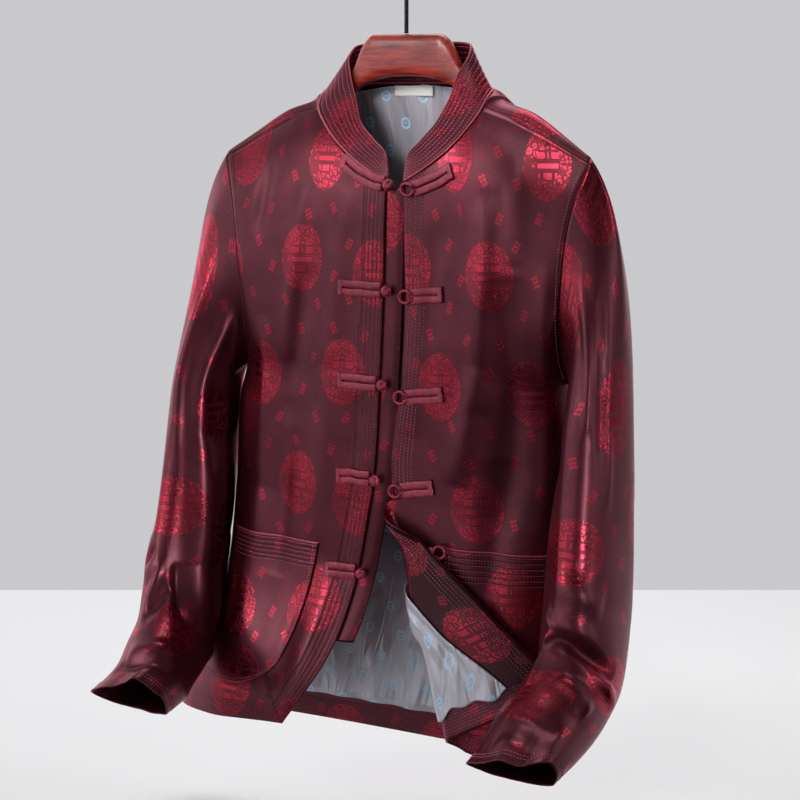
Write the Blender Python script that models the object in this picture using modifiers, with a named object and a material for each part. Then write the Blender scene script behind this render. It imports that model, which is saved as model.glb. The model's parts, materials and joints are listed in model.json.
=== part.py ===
"""Tang jacket with a standing collar, five cord fastenings and a wooden hanger.

Metres, +Z up, front towards -Y, +X to the right of someone who faces the front.
Origin: underside of the top of the hanger hook, where the rail carries it.
Each cut piece of cloth is an open surface worked out from the sizes below and
then given its wall with a Solidify modifier.
"""
import bpy
import numpy as np

for old in list(bpy.data.objects):
    bpy.data.objects.remove(old, do_unlink=True)


# ------------------------------------------------------------ named sizes, metres
WALL = 0.0018            # cloth wall of the main panels
SEAM = 0.0005            # half gap left at a seam
UNDERARM = -0.46
HEM_BACK = -0.904

def curve(x, xs, ys):
    """Smooth curve through a short table: cubic Hermite with limited slopes."""
    x = np.asarray(x, float); xs = np.asarray(xs, float); ys = np.asarray(ys, float)
    if xs[0] > xs[-1]:
        xs, ys = xs[::-1], ys[::-1]
    h = np.diff(xs); d = np.diff(ys) / h
    m = np.zeros_like(ys)
    m[0], m[-1] = d[0], d[-1]
    w1, w2 = 2 * h[1:] + h[:-1], h[1:] + 2 * h[:-1]
    same = d[:-1] * d[1:] > 0
    with np.errstate(divide="ignore", invalid="ignore"):
        hm = (w1 + w2) / (w1 / d[:-1] + w2 / d[1:])
    m[1:-1] = np.where(same, hm, 0.0)
    xc = np.clip(x, xs[0], xs[-1])
    k = np.clip(np.searchsorted(xs, xc) - 1, 0, len(h) - 1)
    t = (xc - xs[k]) / h[k]
    a, b = ys[k], ys[k + 1]
    return ((1 + 2 * t) * (1 - t) ** 2 * a + t * (1 - t) ** 2 * h[k] * m[k]
            + t * t * (3 - 2 * t) * b + t * t * (t - 1) * h[k] * m[k + 1])

def ease(x, a, b):
    t = np.clip((np.asarray(x, float) - a) / (b - a), 0, 1)
    return t * t * (3 - 2 * t)

# neck loop: s = 0 centre back ... 1 centre front; x is half width
NECK_S = (0, .2, .35, .45, .55, .67, .78, .88, .95, 1)
NECK_X = (0, .055, .090, .102, .100, .087, .068, .043, .024, .011)
NECK_Y = (.045, .037, .017, .000, -.018, -.033, -.044, -.052, -.056, -.058)
NECK_Z = (-.141, -.1415, -.146, -.151, -.167, -.188, -.208, -.227, -.238, -.245)
TOP_X = (0, .045, .070, .074, .066, .058, .050, .030, .0145, .0105)
TOP_Y = (.033, .028, .016, .004, -.008, -.018, -.030, -.041, -.0495, -.055)
TOP_Z = (-.098, -.098, -.101, -.113, -.134, -.160, -.183, -.203, -.217, -.236)

def neck(s, side):
    s = np.asarray(s, float)
    x = side * curve(s, NECK_S, NECK_X) + .017 * np.clip((s - .55) / .45, 0, 1)
    return np.stack([x, curve(s, NECK_S, NECK_Y), curve(s, NECK_S, NECK_Z)], -1)

def collar_top(s, side):
    s = np.asarray(s, float)
    x = side * curve(s, NECK_S, TOP_X) + .017 * np.clip((s - .55) / .45, 0, 1)
    return np.stack([x, curve(s, NECK_S, TOP_Y), curve(s, NECK_S, TOP_Z)], -1)

# side boundary (armhole above the underarm, side seam below), front half
SIDE_Z = (-.222, -.258, -.296, -.336, -.38, -.43, -.46, -.478, -.50, -.60, -.70, -.755, -.80, -.90)
FRONT_X = {-1: (-.222, -.206, -.196, -.190, -.187, -.187, -.190, -.1915, -.2050, -.221, -.2355, -.2495, -.268, -.298),
           1: (.222, .215, .209, .206, .202, .197, .195, .195, .196, .204, .210, .210, .202, .185)}
FRONT_Y = {-1: (-.018, -.035, -.044, -.048, -.044, -.025, -.000, .002, .005, .010, .020, .028, .028, .010),
           1: (-.018, -.035, -.044, -.048, -.044, -.025, -.000, .008, .015, .030, .035, .034, .028, .018)}
BACK_Y = (.000, .030, .042, .045, .042, .026, .001)      # back half of the armhole, same levels

EDGE_Z = {-1: (-.245, -.35, -.45, -.54, -.58, -.62, -.69, -.745, -.78, -.82, -.872),
          1: (-.245, -.38, -.46, -.505, -.56, -.592, -.647, -.676, -.71, -.739, -.76, -.80, -.839, -.872)}
EDGE_X = {-1: (.006, .005, .001, -.004, -.008, -.015, -.029, -.042, -.055, -.078, -.116),
          1: (.028, .032, .028, .021, .015, .016, .038, .048, .054, .062, .077, .090, .101, .110)}
FOLD_TOP = -.592

def side_x(z, side): return curve(z, SIDE_Z, FRONT_X[side])
def side_yf(z, side): return curve(z, SIDE_Z, FRONT_Y[side])
def side_yb(z, side):
    full = BACK_Y + FRONT_Y[side][7:]
    return curve(z, SIDE_Z, full)
def edge_x(z, side): return curve(z, EDGE_Z[side], EDGE_X[side])

def front_depth(z, side):
    base = curve(z, (-.16, -.22, -.30, -.45, -.60, -.75, -.90), (-.056, -.058, -.062, -.064, -.064, -.064, -.066))
    if side < 0:
        base = base - .024 * ease(-z, .60, .88)
    return base

SHOULDER_X = (.097, .13, .17, .20, .222)
SHOULDER_Z = (-.1665, -.1775, -.1965, -.2125, -.2237)

def front_top(x, side):
    """Top boundary of a front over x: the neckline, then the shoulder seam."""
    s = np.linspace(.55, 1, 60)
    n = neck(s, side)
    ax = np.concatenate([(side * n[::-1, 0]), SHOULDER_X[1:]])
    ay = np.concatenate([n[::-1, 1], [-.018] * 4])
    az = np.concatenate([n[::-1, 2], SHOULDER_Z[1:]])
    return np.interp(side * x, ax, ay), np.interp(side * x, ax, az)

POW = .82
def section(u, z, side, half):
    """Rounded section: u 0 at the opening (or centre back), 1 at the side boundary."""
    t = np.clip(u, 0, 1) * np.pi / 2
    if half == "front":
        x0, y0, y1 = edge_x(z, side), front_depth(z, side), side_yf(z, side)
    else:
        x0 = curve(z, (-.2, -.55, -.90), (.0, .0, -.045))
        y0 = curve(z, (-.14, -.22, -.34, -.6, -.9), (.047, .056, .062, .056, .047)); y1 = side_yb(z, side)
    x = x0 + (side_x(z, side) - x0) * np.sin(t) ** POW
    y = y1 + (y0 - y1) * np.cos(t) ** POW
    return x, y

def front_hem(u, side):
    u = np.asarray(u, float)
    if side < 0:
        return curve(u, (0, .35, .7, 1), (-.866, -.876, -.888, -.900))
    return curve(u, (0, .3, .7, 1), (-.868, -.880, -.892, -.898))

def front_point(u, v, side):
    """Front panel: u opening -> side boundary, v top -> hem."""
    u, v = np.broadcast_arrays(np.asarray(u, float), np.asarray(v, float))
    xt, _ = section(u, np.full(u.shape, -.2237), side, "front")
    for _ in range(6):
        yt, zt = front_top(xt, side)
        xt, ys = section(u, zt, side, "front")
    yt, zt = front_top(xt, side)
    z = zt + (front_hem(u, side) - zt) * v
    x, y = section(u, z, side, "front")
    y = y + (yt - ys) * np.exp(-(zt - z) / .045)
    return np.stack([x, y, z], -1)

BT_U = (0, .22, .36, .44, .50, .66, .84, 1.0)
BT_X = (0, .055, .090, .1015, .100, .140, .186, .222)
BT_Y = (.045, .037, .017, .000, -.0172, -.0172, -.0172, -.0172)
BT_Z = (-.141, -.1415, -.146, -.151, -.1660, -.1815, -.2050, -.2230)
BT_L = (0, 0, 0, .001, .0100, .0095, .0080, .0060)

def back_point(u, v, side):
    """Back panel: u 0 centre -> 1 side boundary, v 0 neck / shoulder seam -> 1 hem."""
    u, v = np.broadcast_arrays(np.asarray(u, float), np.asarray(v, float))
    yt, zt, lift = (curve(u, BT_U, c) for c in (BT_Y, BT_Z, BT_L))
    xt = curve(u, BT_U, BT_X)
    hem = HEM_BACK + .004 * u ** 2
    end = zt + 2 * lift - hem
    # more rows close to the shoulder
    sg = end * (.35 * v ** 2 + .65 * v ** 1.3)
    z = zt + 2 * lift * (1 - np.exp(-sg / .01)) - sg * (1 - np.exp(-sg / .03))
    x, ys = section(u, z, side, "back")
    xb, _ = section(u, np.minimum(zt, -.2237), side, "back")
    x = x + (side * xt - xb) * np.exp(-np.maximum(sg - .0, 0) / .07)
    y = yt + (ys - yt) * (1 - np.exp(-sg / .035))
    return np.stack([x, y, z], -1)


# ------------------------------------------------------------ turned-back part of the loop side
FLAP_APEX = (.016, -.592)                     # x, z of the free edge where the fold starts
FLAP_CORNER = (.222, -.778)                   # x, z of the lower front corner, turned back
ARC_STEPS, FLAT_STEPS = 5, 6


def flap_rows(t):
    """Fold line, roll radius and free edge at t = 0 (apex) ... 1 (hem)."""
    zf = FOLD_TOP + (front_hem(0., 1) - FOLD_TOP) * t
    gx = FLAP_APEX[0] + (FLAP_CORNER[0] - FLAP_APEX[0]) * t
    gz = FLAP_APEX[1] + (FLAP_CORNER[1] - FLAP_APEX[1]) * t
    return edge_x(zf, 1), front_depth(zf, 1), zf, .0055 + .0095 * t, gx, gz


def flap_point(t, a):
    """a 0..1 round the roll, 1..2 flat to the free edge."""
    t, a = np.broadcast_arrays(np.asarray(t, float), np.asarray(a, float))
    xf, yf, zf, r, gx, gz = flap_rows(t)
    turn = np.pi * ease(t, 0, .22)
    flat = np.maximum(gx - xf, 0)
    phi = turn * np.minimum(a, 1)
    s = flat * np.clip(a - 1, 0, 1)
    x = xf - r * np.sin(phi) - s * np.cos(turn)
    y = yf - r * (1 - np.cos(phi)) - s * np.sin(turn) + .040 * (s / .112) ** 2
    along = (phi * r + s) / np.maximum(turn * r + flat, 1e-6)
    return np.stack([x, y, zf + (gz - zf) * along], -1)

# ------------------------------------------------------------ sleeves
# table: cx, cy, cz, tilt of the section (deg), half width across, half width front-back
SLV = {1: np.array([
    (.2440, -.029, -.50, 4, .027, .066),
    (.2455, -.035, -.57, 8, .029, .073),
    (.2480, -.045, -.64, 11, .031, .077),
    (.2515, -.063, -.70, 18, .033, .076),
    (.2510, -.088, -.742, 32, .036, .067),
    (.2465, -.124, -.770, 45, .039, .055),
    (.2390, -.172, -.792, 52, .043, .045),
    (.2330, -.222, -.812, 50, .047, .038),
])}
SLV[-1] = SLV[1] + np.array([          # this one hangs a little flatter against the body
    (.0022, -.0040, 0, 0, -.0025, -.0040),
    (.0027, -.0045, 0, 0, -.0028, -.0045),
    (.0030, -.0045, 0, 0, -.0030, -.0045),
    (.0033, -.0050, 0, 0, -.0032, -.0050),
    (.0025, -.0020, 0, 0, -.0025, -.0020),
    (.0005, 0, 0, 0, -.0005, 0), (0, 0, 0, 0, 0, 0), (0, 0, 0, 0, 0, 0)])

def armhole(side, n=200):
    """Armhole loop of the body: starts at the underarm, up the front, over the shoulder, down the back."""
    v = np.linspace(0, 1, 400)
    f = front_point(np.ones(400), v, side); f = f[f[:, 2] >= UNDERARM][::-1]
    b = back_point(np.ones(400), v, side); b = b[b[:, 2] >= UNDERARM - .0005]
    top = int(np.argmax(b[:, 2]))
    loop = np.concatenate([f, b])
    k = len(f) + top
    def even(p, m):
        d = np.concatenate([[0], np.cumsum(np.linalg.norm(np.diff(p, axis=0), axis=1))])
        q = np.linspace(0, d[-1], m)
        return np.stack([np.interp(q, d, p[:, i]) for i in range(3)], -1)
    return even(loop[:k + 1], n)[::-1], even(loop[k:], n)      # top->front->underarm, top->back->underarm

def sleeve_ring0(theta, side):
    fr, bk = armhole(side)
    th = np.mod(theta, 2 * np.pi)
    q = np.where(th <= np.pi, th, 2 * np.pi - th) / np.pi
    idx = np.linspace(0, 1, len(fr))
    F = np.stack([np.interp(q, idx, fr[:, i]) for i in range(3)], -1)
    B = np.stack([np.interp(q, idx, bk[:, i]) for i in range(3)], -1)
    return np.where((th <= np.pi)[..., None], F, B)

def sleeve_ring(p, theta, side):
    """Section of the hanging part, p in 0..1 along the table."""
    k = np.linspace(0, 1, len(SLV[side]))
    cx, cy, cz, tl, a, b = (curve(p, k, SLV[side][:, i]) for i in range(6))
    g = np.radians(tl)
    e = 2 / 2.3
    c, s = np.cos(theta), np.sin(theta)
    c, s = np.sign(c) * np.abs(c) ** e, np.sign(s) * np.abs(s) ** e
    return np.stack([side * (cx + a * c), cy - b * s * np.cos(g), cz + b * s * np.sin(g)], -1)

CAP = .30
def sleeve_point(w, theta, side):
    """w 0 at the armhole, 1 at the cuff; theta 0 outward, 90 deg front, 180 deg to the body."""
    w, theta = np.broadcast_arrays(np.asarray(w, float), np.asarray(theta, float))
    A = sleeve_ring0(theta, side)
    B = sleeve_ring(np.zeros(w.shape), theta, side)
    out = (1 + np.cos(theta)) / 2
    t = np.clip(w / CAP, 0, 1)[..., None]
    L = np.linalg.norm(B - A, axis=-1)
    dA = np.stack([side * (.052 + .090 * out), np.zeros(w.shape), -.6 * L], -1)
    dB = (sleeve_ring(np.full(w.shape, .02), theta, side) - B) / .02 * np.clip(L / .5, .05, .6)[..., None]
    h = ((1 + 2 * t) * (1 - t) ** 2 * A + t * (1 - t) ** 2 * dA + t * t * (3 - 2 * t) * B + t * t * (t - 1) * dB)
    low = sleeve_ring(np.clip((w - CAP) / (1 - CAP), 0, 1), theta, side)
    return np.where((w < CAP)[..., None], h, low)

def collar_point(s, h, side):
    return neck(s, side) * (1 - h)[..., None] + collar_top(s, side) * h[..., None]

# ------------------------------------------------------------ helpers
def shift(grid, d):
    """Move a grid of points d along its own normals."""
    n = np.cross(np.gradient(grid, axis=0), np.gradient(grid, axis=1))
    n /= np.maximum(np.linalg.norm(n, axis=-1, keepdims=True), 1e-12)
    return grid + d * n


def trim(grid, left=0, right=0, top=0, bottom=0):
    """Shorten a grid by these lengths at its four borders."""
    g = grid.copy()
    for ax, first, amount in ((1, True, left), (1, False, right), (0, True, top), (0, False, bottom)):
        if not amount:
            continue
        h = np.moveaxis(g, ax, 0)
        i, j = (0, 1) if first else (-1, -2)
        d = h[j] - h[i]
        h[i] = h[i] + d * (amount / np.maximum(np.linalg.norm(d, axis=-1, keepdims=True), amount * 1.2))
    return g


def faces_of(rows, cols, wrap=False):
    r, c = np.meshgrid(np.arange(rows - 1), np.arange(cols if wrap else cols - 1), indexing="ij")
    d = (c + 1) % cols
    return np.stack([r * cols + c, r * cols + d, (r + 1) * cols + d, (r + 1) * cols + c], -1).reshape(-1, 4)


col = bpy.data.collections.new("tang_jacket")
bpy.context.scene.collection.children.link(col)


def colour(name, rgb, rough, sheen=0.0):
    m = bpy.data.materials.new(name)
    m.use_nodes = True
    b = m.node_tree.nodes["Principled BSDF"]
    b.inputs["Base Color"].default_value = (*rgb, 1)
    b.inputs["Roughness"].default_value = rough
    b.inputs["Sheen Weight"].default_value = sheen
    return m


LOOK = {"cloth": ((.16, .012, .025), .42, .2), "trim": ((.13, .010, .018), .4, .2),
        "lining": ((.17, .155, .165), .4, .1), "label": ((.75, .75, .72), .7, 0),
        "wood": ((.20, .035, .018), .3, 0), "metal": ((.02, .02, .022), .3, 0)}


def add_mesh(name, verts, faces, look):
    me = bpy.data.meshes.new(name)
    me.from_pydata([tuple(v) for v in np.asarray(verts).reshape(-1, 3).tolist()], [],
                   [tuple(f) for f in faces])
    me.update()
    ob = bpy.data.objects.new(name, me)
    col.objects.link(ob)
    me.materials.append(colour(name + "_look", *LOOK[look]))
    for p in me.polygons:
        p.use_smooth = True
    return ob


def shell(name, verts, faces, look, wall=WALL):
    ob = add_mesh(name, verts, faces, look)
    s = ob.modifiers.new("wall", "SOLIDIFY")
    s.thickness, s.offset, s.use_even_offset = wall, 0.0, False
    return ob


def sheet(name, grid, look, wall=WALL, wrap=False):
    return shell(name, grid, faces_of(grid.shape[0], grid.shape[1], wrap).tolist(), look, wall)


def front_y(x, z, side):
    """Depth of the front panel at x, z below the shoulder."""
    x, z = np.broadcast_arrays(np.asarray(x, float), np.asarray(z, float))
    x0, xs = edge_x(z, side), side_x(z, side)
    q = np.clip((x - x0) / (xs - x0), 0, .999)
    t = np.arcsin(q ** (1 / POW))
    y = side_yf(z, side) + (front_depth(z, side) - side_yf(z, side)) * np.cos(t) ** POW
    xt, _ = section(t / (np.pi / 2), np.full(z.shape, -.2237), side, "front")
    yt, zt = front_top(xt, side)
    zt = np.maximum(zt, z)
    _, ys = section(t / (np.pi / 2), zt, side, "front")
    return y + (yt - ys) * np.exp(-(zt - z) / .045)


# ------------------------------------------------------------ body panels
u = np.linspace(0, 1, 12)[None]
v_fold = float((FOLD_TOP - front_top(np.array(edge_x(-.245, 1)), 1)[1])
               / (front_hem(0., 1) - front_top(np.array(edge_x(-.245, 1)), 1)[1]))
FLAP_T = np.array([0, .05, .11, .18, .26, .37, .50, .63, .76, .88, 1.0])
rows = np.concatenate([np.linspace(0, v_fold, 11), v_fold + (1 - v_fold) * FLAP_T[1:]])[:, None]

left = trim(front_point(u, rows, -1), right=.0018, top=.0016)
sheet("front_knot_side", left, "cloth")

main = trim(front_point(u, rows, 1), right=.0018, top=.0016)
R, C = main.shape[:2]
first = 10                                             # row where the fold starts
tt = FLAP_T[1:]
aa = np.concatenate([np.linspace(0, 1, ARC_STEPS + 1)[1:], 1 + np.linspace(0, 1, FLAT_STEPS + 1)[1:]])
turned = flap_point(tt[:, None], aa[None])
verts = np.concatenate([main.reshape(-1, 3), turned.reshape(-1, 3)])
K = len(aa)
quads = faces_of(R, C).tolist()
for i in range(len(tt)):
    row = first + 1 + i
    now = [row * C] + [R * C + i * K + k for k in range(K)]
    if i == 0:
        quads += [[first * C, now[k], now[k + 1]][::1] for k in range(K)]
    else:
        was = [(row - 1) * C] + [R * C + (i - 1) * K + k for k in range(K)]
        quads += [[was[k + 1], was[k], now[k], now[k + 1]] for k in range(K)]
shell("front_loop_side", verts, quads, "cloth")

ub = np.linspace(-1, 1, 21)
vb = np.linspace(0, 1, 22)[:, None]
back = np.concatenate([back_point(-ub[None, :10], vb, -1), back_point(ub[None, 10:], vb, 1)], 1)
back = trim(back, left=.0010, right=.0010, top=.0006)
sheet("back_panel", back, "cloth")

# ------------------------------------------------------------ sleeves
w = np.concatenate([np.linspace(0, CAP, 7), np.linspace(CAP, 1, 12)[1:]])[:, None]
th = np.linspace(0, 2 * np.pi, 21)[:-1][None]
for side, name in ((-1, "sleeve_knot_side"), (1, "sleeve_loop_side")):
    g = trim(sleeve_point(w, th, side), top=.0026)
    sheet(name, g, "cloth", wrap=True)

# ------------------------------------------------------------ collar
s = np.linspace(-1, 1, 39)
band = np.array([.08, .38, .70, 1.0])[:, None]
cl = np.concatenate([collar_point(-s[None, :19] + 0 * band, band + 0 * s[None, :19], -1),
                     collar_point(s[None, 19:] + 0 * band, band + 0 * s[None, 19:], 1)], 1)
sheet("collar", trim(cl, left=.0004, right=.0004), "cloth", wall=.0024)

# ------------------------------------------------------------ strip under the knot side opening
zz = np.linspace(-.252, -.760, 18)[:, None]
over = np.linspace(-.030, .0245, 4)[None]
strip = np.stack([edge_x(zz, -1) + over - .002 * ease(-zz, .45, .62) * (over > 0),
                  front_depth(zz, -1) + .0060 + 0 * over, zz + 0 * over], -1)
sheet("under_placket", strip, "cloth", wall=.0016)

# ------------------------------------------------------------ patch pockets
POCKET_WALL = .0016
a = np.linspace(0, 1, 8)[None]
b = np.linspace(0, 1, 9)[:, None]


def pocket_bottom(a, low, width, round_=.036):
    d = np.clip(round_ - np.minimum(a, 1 - a) * width, 0, round_ * .995)
    return low + round_ - np.sqrt(round_ ** 2 - d ** 2)


zb = pocket_bottom(a, -.838, .125)
pz = -.653 + (zb + .653) * b
px, py = section(.178 + .44 * a, pz, -1, "front")
sheet("pocket_knot_side", shift(np.stack([px, py, pz], -1), -.0042), "cloth", POCKET_WALL)

top = -.640 - .005 * a
zb = pocket_bottom(a, -.828, .108)
pz = top + (zb - top) * b
px = np.maximum(.081, edge_x(pz, 1) + .014)
px = px + (.189 - px) * a
sheet("pocket_loop_side", shift(np.stack([px, front_y(px, pz, 1), pz], -1), .0040), "cloth", POCKET_WALL)

# ------------------------------------------------------------ facing and linings
FACING = .052


def seam_a(t):
    """Where facing and lining meet on the turned-back part."""
    xf, yf, zf, r, gx, gz = flap_rows(t)
    flat = np.maximum(gx - xf, 1e-6)
    return np.where(flat > FACING, 2 - FACING / flat, np.clip((flat - FACING) / (np.pi * r) + 1, .25, 1))


t = np.concatenate([FLAP_T[2:-1], [.992]])[:, None]


def on_flap(t, near, far, steps, skip=0.0):
    """Rows across the turned-back part between two a values, even in length."""
    xf, _, _, roll, gx, _ = flap_rows(t)
    arc, flat = np.maximum(ease(t, 0, .22) * np.pi * roll, 1e-5), np.maximum(gx - xf, 1e-5)
    length = lambda a: np.where(a < 1, a * arc, arc + (a - 1) * flat)
    lo, hi = length(near) + skip, length(far) - skip
    run = lo + (hi - lo) * np.linspace(0, 1, steps)[None]
    return flap_point(t, np.where(run < arc, run / arc, 1 + (run - arc) / flat))


lay = on_flap(t, np.maximum(seam_a(t), 1.0), 1.985 + 0 * t, 8, .0004)
sheet("facing_loop_side", shift(lay, .0034), "cloth", .0014)

t = np.concatenate([[.46], FLAP_T[6:-1], [.90]])[:, None]
lay = on_flap(t, .12 + 0 * t, seam_a(t), 11, .0008)
sheet("lining_front", shift(lay, .0036), "lining", .0012)

ul = np.linspace(-.80, .80, 17)
start = .006 + .16 * ease(np.abs(ul), .30, .50)[None]
vl = start + (.972 - start) * np.linspace(0, 1, 16)[:, None]
inner = np.concatenate([back_point(-ul[None, :8], vl[:, :8], -1), back_point(ul[None, 8:], vl[:, 8:], 1)], 1)
sheet("lining_back", shift(inner, .0060), "lining", .0012)

lx = np.linspace(-.033, .0144, 4)[None]
lz = np.linspace(-.1445, -.1560, 3)[:, None]
ly = .0350 - .9 * lx ** 2 + 0 * lz + .15 * (-.1445 - lz)
sheet("neck_label", np.stack([lx + 0 * lz, ly, lz + 0 * lx], -1), "label", .0008)

# ------------------------------------------------------------ cord fastenings
CORD, GAP, KNOT = .0034, .0047, .0056
# x, z of the inner end, x, z of the outer end, bow along the neck seam
KNOT_SIDE = ((.0085, -.2520, -.0450, -.2310, -.0045), (.0085, -.3620, -.0480, -.3610, 0),
             (.0030, -.4650, -.0500, -.4640, 0), (-.0060, -.5720, -.0530, -.5720, 0),
             (-.0240, -.6800, -.0670, -.6810, 0))
LOOP_SIDE = ((.0270, -.2620, .0860, -.2400, -.0045), (.0270, -.3680, .0770, -.3630, 0),
             (.0215, -.4780, .0780, -.4710, 0), (.0150, -.5830, .0670, -.5740, 0))


def tube(name, path, radius, look, closed=False, sides=7):
    """Round cord along a path, ends closed flat."""
    p = np.asarray(path)
    if closed:
        tan = np.roll(p, -1, 0) - np.roll(p, 1, 0)
    else:
        tan = np.gradient(p, axis=0)
    tan /= np.linalg.norm(tan, axis=1, keepdims=True)
    out = np.array([0.0, -1.0, 0.0])
    e1 = out - (tan @ out)[:, None] * tan
    e1 /= np.linalg.norm(e1, axis=1, keepdims=True)
    e2 = np.cross(tan, e1)
    ang = np.linspace(0, 2 * np.pi, sides + 1)[:-1]
    ring = p[:, None] + radius * (np.cos(ang)[None, :, None] * e1[:, None] + np.sin(ang)[None, :, None] * e2[:, None])
    n, m = len(p), sides
    f = faces_of(n, m, True).tolist()
    if closed:
        f += [[(n - 1) * m + c, (n - 1) * m + (c + 1) % m, (c + 1) % m, c] for c in range(m)]
    else:
        f += [list(range(m)), [(n - 1) * m + c for c in range(m)][::-1]]
    ob = add_mesh(name, ring, f, look)
    return ob


def on_front(spec, p, q, side, lift):
    x0, z0, x1, z1, bow = spec
    d = np.array([x1 - x0, z1 - z0])
    L = np.linalg.norm(d)
    d /= L
    nrm = np.array([-d[1], d[0]]) * side
    x = x0 + d[0] * p + nrm[0] * q
    z = z0 + d[1] * p + nrm[1] * q + bow * 4 * (p / L) * (1 - p / L)
    xe = edge_x(z, side)
    inside = np.maximum(x, xe + .001) if side > 0 else np.minimum(x, xe - .001)
    return np.stack([x, front_y(inside, z, side) - lift, z], -1), L


def bar_path(L, closed):
    e = np.linspace(-np.pi / 2, np.pi / 2, 7)
    end_p, end_q = L - GAP + GAP * np.cos(e), GAP * np.sin(e)
    inner = .0105 if not closed else .013
    straight = np.linspace(inner, L - GAP, 6)[:-1]
    p = np.concatenate([straight, end_p, straight[::-1]])
    q = np.concatenate([-GAP + 0 * straight, end_q, GAP + 0 * straight])
    if closed:
        g = np.linspace(np.radians(50), np.radians(310), 9)
        p = np.concatenate([p, .0068 + .0062 * np.cos(g)])
        q = np.concatenate([q, .0062 * np.sin(g)])
    return p, q


for n, spec in enumerate(KNOT_SIDE, 1):
    L = float(np.hypot(spec[2] - spec[0], spec[3] - spec[1]))
    p, q = bar_path(L, False)
    pts, _ = on_front(spec, p, q, -1, .0009 + CORD + .0006)
    tube(f"frog_bar_{n}", pts, CORD, "trim")
    c, _ = on_front(spec, np.array([.0005]), np.array([0.0]), -1, .0009 + KNOT + .0006)
    e = np.linspace(0, np.pi, 8)[1:-1, None]
    g = np.linspace(0, 2 * np.pi, 11)[:-1][None]
    ball = np.stack([np.sin(e) * np.cos(g), np.sin(e) * np.sin(g), np.cos(e) + 0 * g], -1) * KNOT + c[0]
    m = 10
    v = np.concatenate([ball.reshape(-1, 3), c + [[0, 0, KNOT]], c - [[0, 0, KNOT]]])
    f = faces_of(6, m, True).tolist()
    f += [[60, (k + 1) % m, k] for k in range(m)] + [[61, 50 + k, 50 + (k + 1) % m] for k in range(m)]
    f = [[i for i in face] for face in f]
    add_mesh(f"frog_knot_{n}", v, f, "trim")

for n, spec in enumerate(LOOP_SIDE, 1):
    L = float(np.hypot(spec[2] - spec[0], spec[3] - spec[1]))
    p, q = bar_path(L, True)
    pts, _ = on_front(spec, p, q, 1, .0009 + CORD + .0006)
    tube(f"frog_loop_{n}", pts, CORD, "trim", closed=True)

# the fifth loop sits on the outer side of the turned-back part and passes its free edge
T5, PAST = .285, .0125
edge = flap_point(np.array([T5]), np.array([2.0]))[0]
inward = flap_point(np.array([T5]), np.array([1.2]))[0] - edge
inward /= np.linalg.norm(inward)
down = flap_point(np.array([T5 + .05]), np.array([2.0]))[0] - edge
down -= inward * (down @ inward)
down /= np.linalg.norm(down)
away = np.cross(inward, down)
away *= np.sign(away[1])
p, q = bar_path(.031, True)
pts = edge + (p - PAST)[:, None] * inward + q[:, None] * down + (.0009 + CORD + .0012) * away
tube("frog_loop_5", pts, CORD, "trim", closed=True)

# ------------------------------------------------------------ hanger
WOOD_X = (0, .020, .040, .049, .066, .085, .10, .15, .184)
WOOD_TOP = (-.0890, -.0890, -.0892, -.0945, -.1250, -.1550, -.1680, -.1930, -.2150)
WOOD_LOW = (-.1340, -.1350, -.1385, -.1415, -.1510, -.1720, -.1850, -.2100, -.2290)
WOOD_HALF = (.0115, .0115, .0110, .0095, .0072, .0070, .0075, .0080, .0065)
WOOD_MID = (.004, .004, .004, .004, .0045, .004, .002, -.003, -.0065)
xs = np.concatenate([-np.array([.184, .165, .14, .11, .09, .075, .062, .052, .045, .038, .02])[:],
                     [0.0], np.array([.184, .165, .14, .11, .09, .075, .062, .052, .045, .038, .02])[::-1]])
e = np.linspace(0, 2 * np.pi, 15)[:-1][None]
X = xs[:, None]
tp, lo, hf, mid = (curve(np.abs(X), WOOD_X, c) for c in (WOOD_TOP, WOOD_LOW, WOOD_HALF, WOOD_MID))
sg = lambda f: np.sign(f) * np.abs(f) ** .55
ring = np.stack([X + 0 * e, mid + hf * sg(np.cos(e)),
                 (tp + lo) / 2 + (tp - lo) / 2 * sg(np.sin(e))], -1)
n, m = ring.shape[:2]
f = faces_of(n, m, True).tolist() + [list(range(m)), [(n - 1) * m + c for c in range(m)][::-1]]
add_mesh("hanger_wood", ring, f, "wood")

WIRE = .0024
hook = np.array([(.0165, -.0290), (.0203, -.0200), (.0185, -.0085), (.0110, -.0008), (0, .0024),
                 (-.0110, -.0008), (-.0185, -.0085), (-.0203, -.0180), (-.0175, -.0270), (-.0110, -.0345),
                 (-.0040, -.0410), (-.0005, -.0480), (0, -.0560), (0, -.0884)])
d = np.concatenate([[0], np.cumsum(np.hypot(*np.diff(hook, axis=0).T))])
qd = np.concatenate([np.linspace(0, d[-2], 30), [d[-1]]])
hx, hz = curve(qd, d, hook[:, 0]), curve(qd, d, hook[:, 1])
tube("hanger_hook", np.stack([hx, 0 * hx, hz], -1), WIRE, "metal", sides=8)


# ------------------------------------------------------------ faces outward
for ob in col.objects:
    import bmesh
    bm = bmesh.new()
    bm.from_mesh(ob.data)
    bmesh.ops.recalc_face_normals(bm, faces=bm.faces)
    bm.to_mesh(ob.data)
    bm.free()
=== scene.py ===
# %% [markdown]
# A silk tang jacket on a wooden hanger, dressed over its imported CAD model.
# The CAD solids fix where every cut piece hangs. This script gives each piece a fine cloth surface,
# worked out with the same formulas, then sews it and weaves the pattern into its material.

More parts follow.
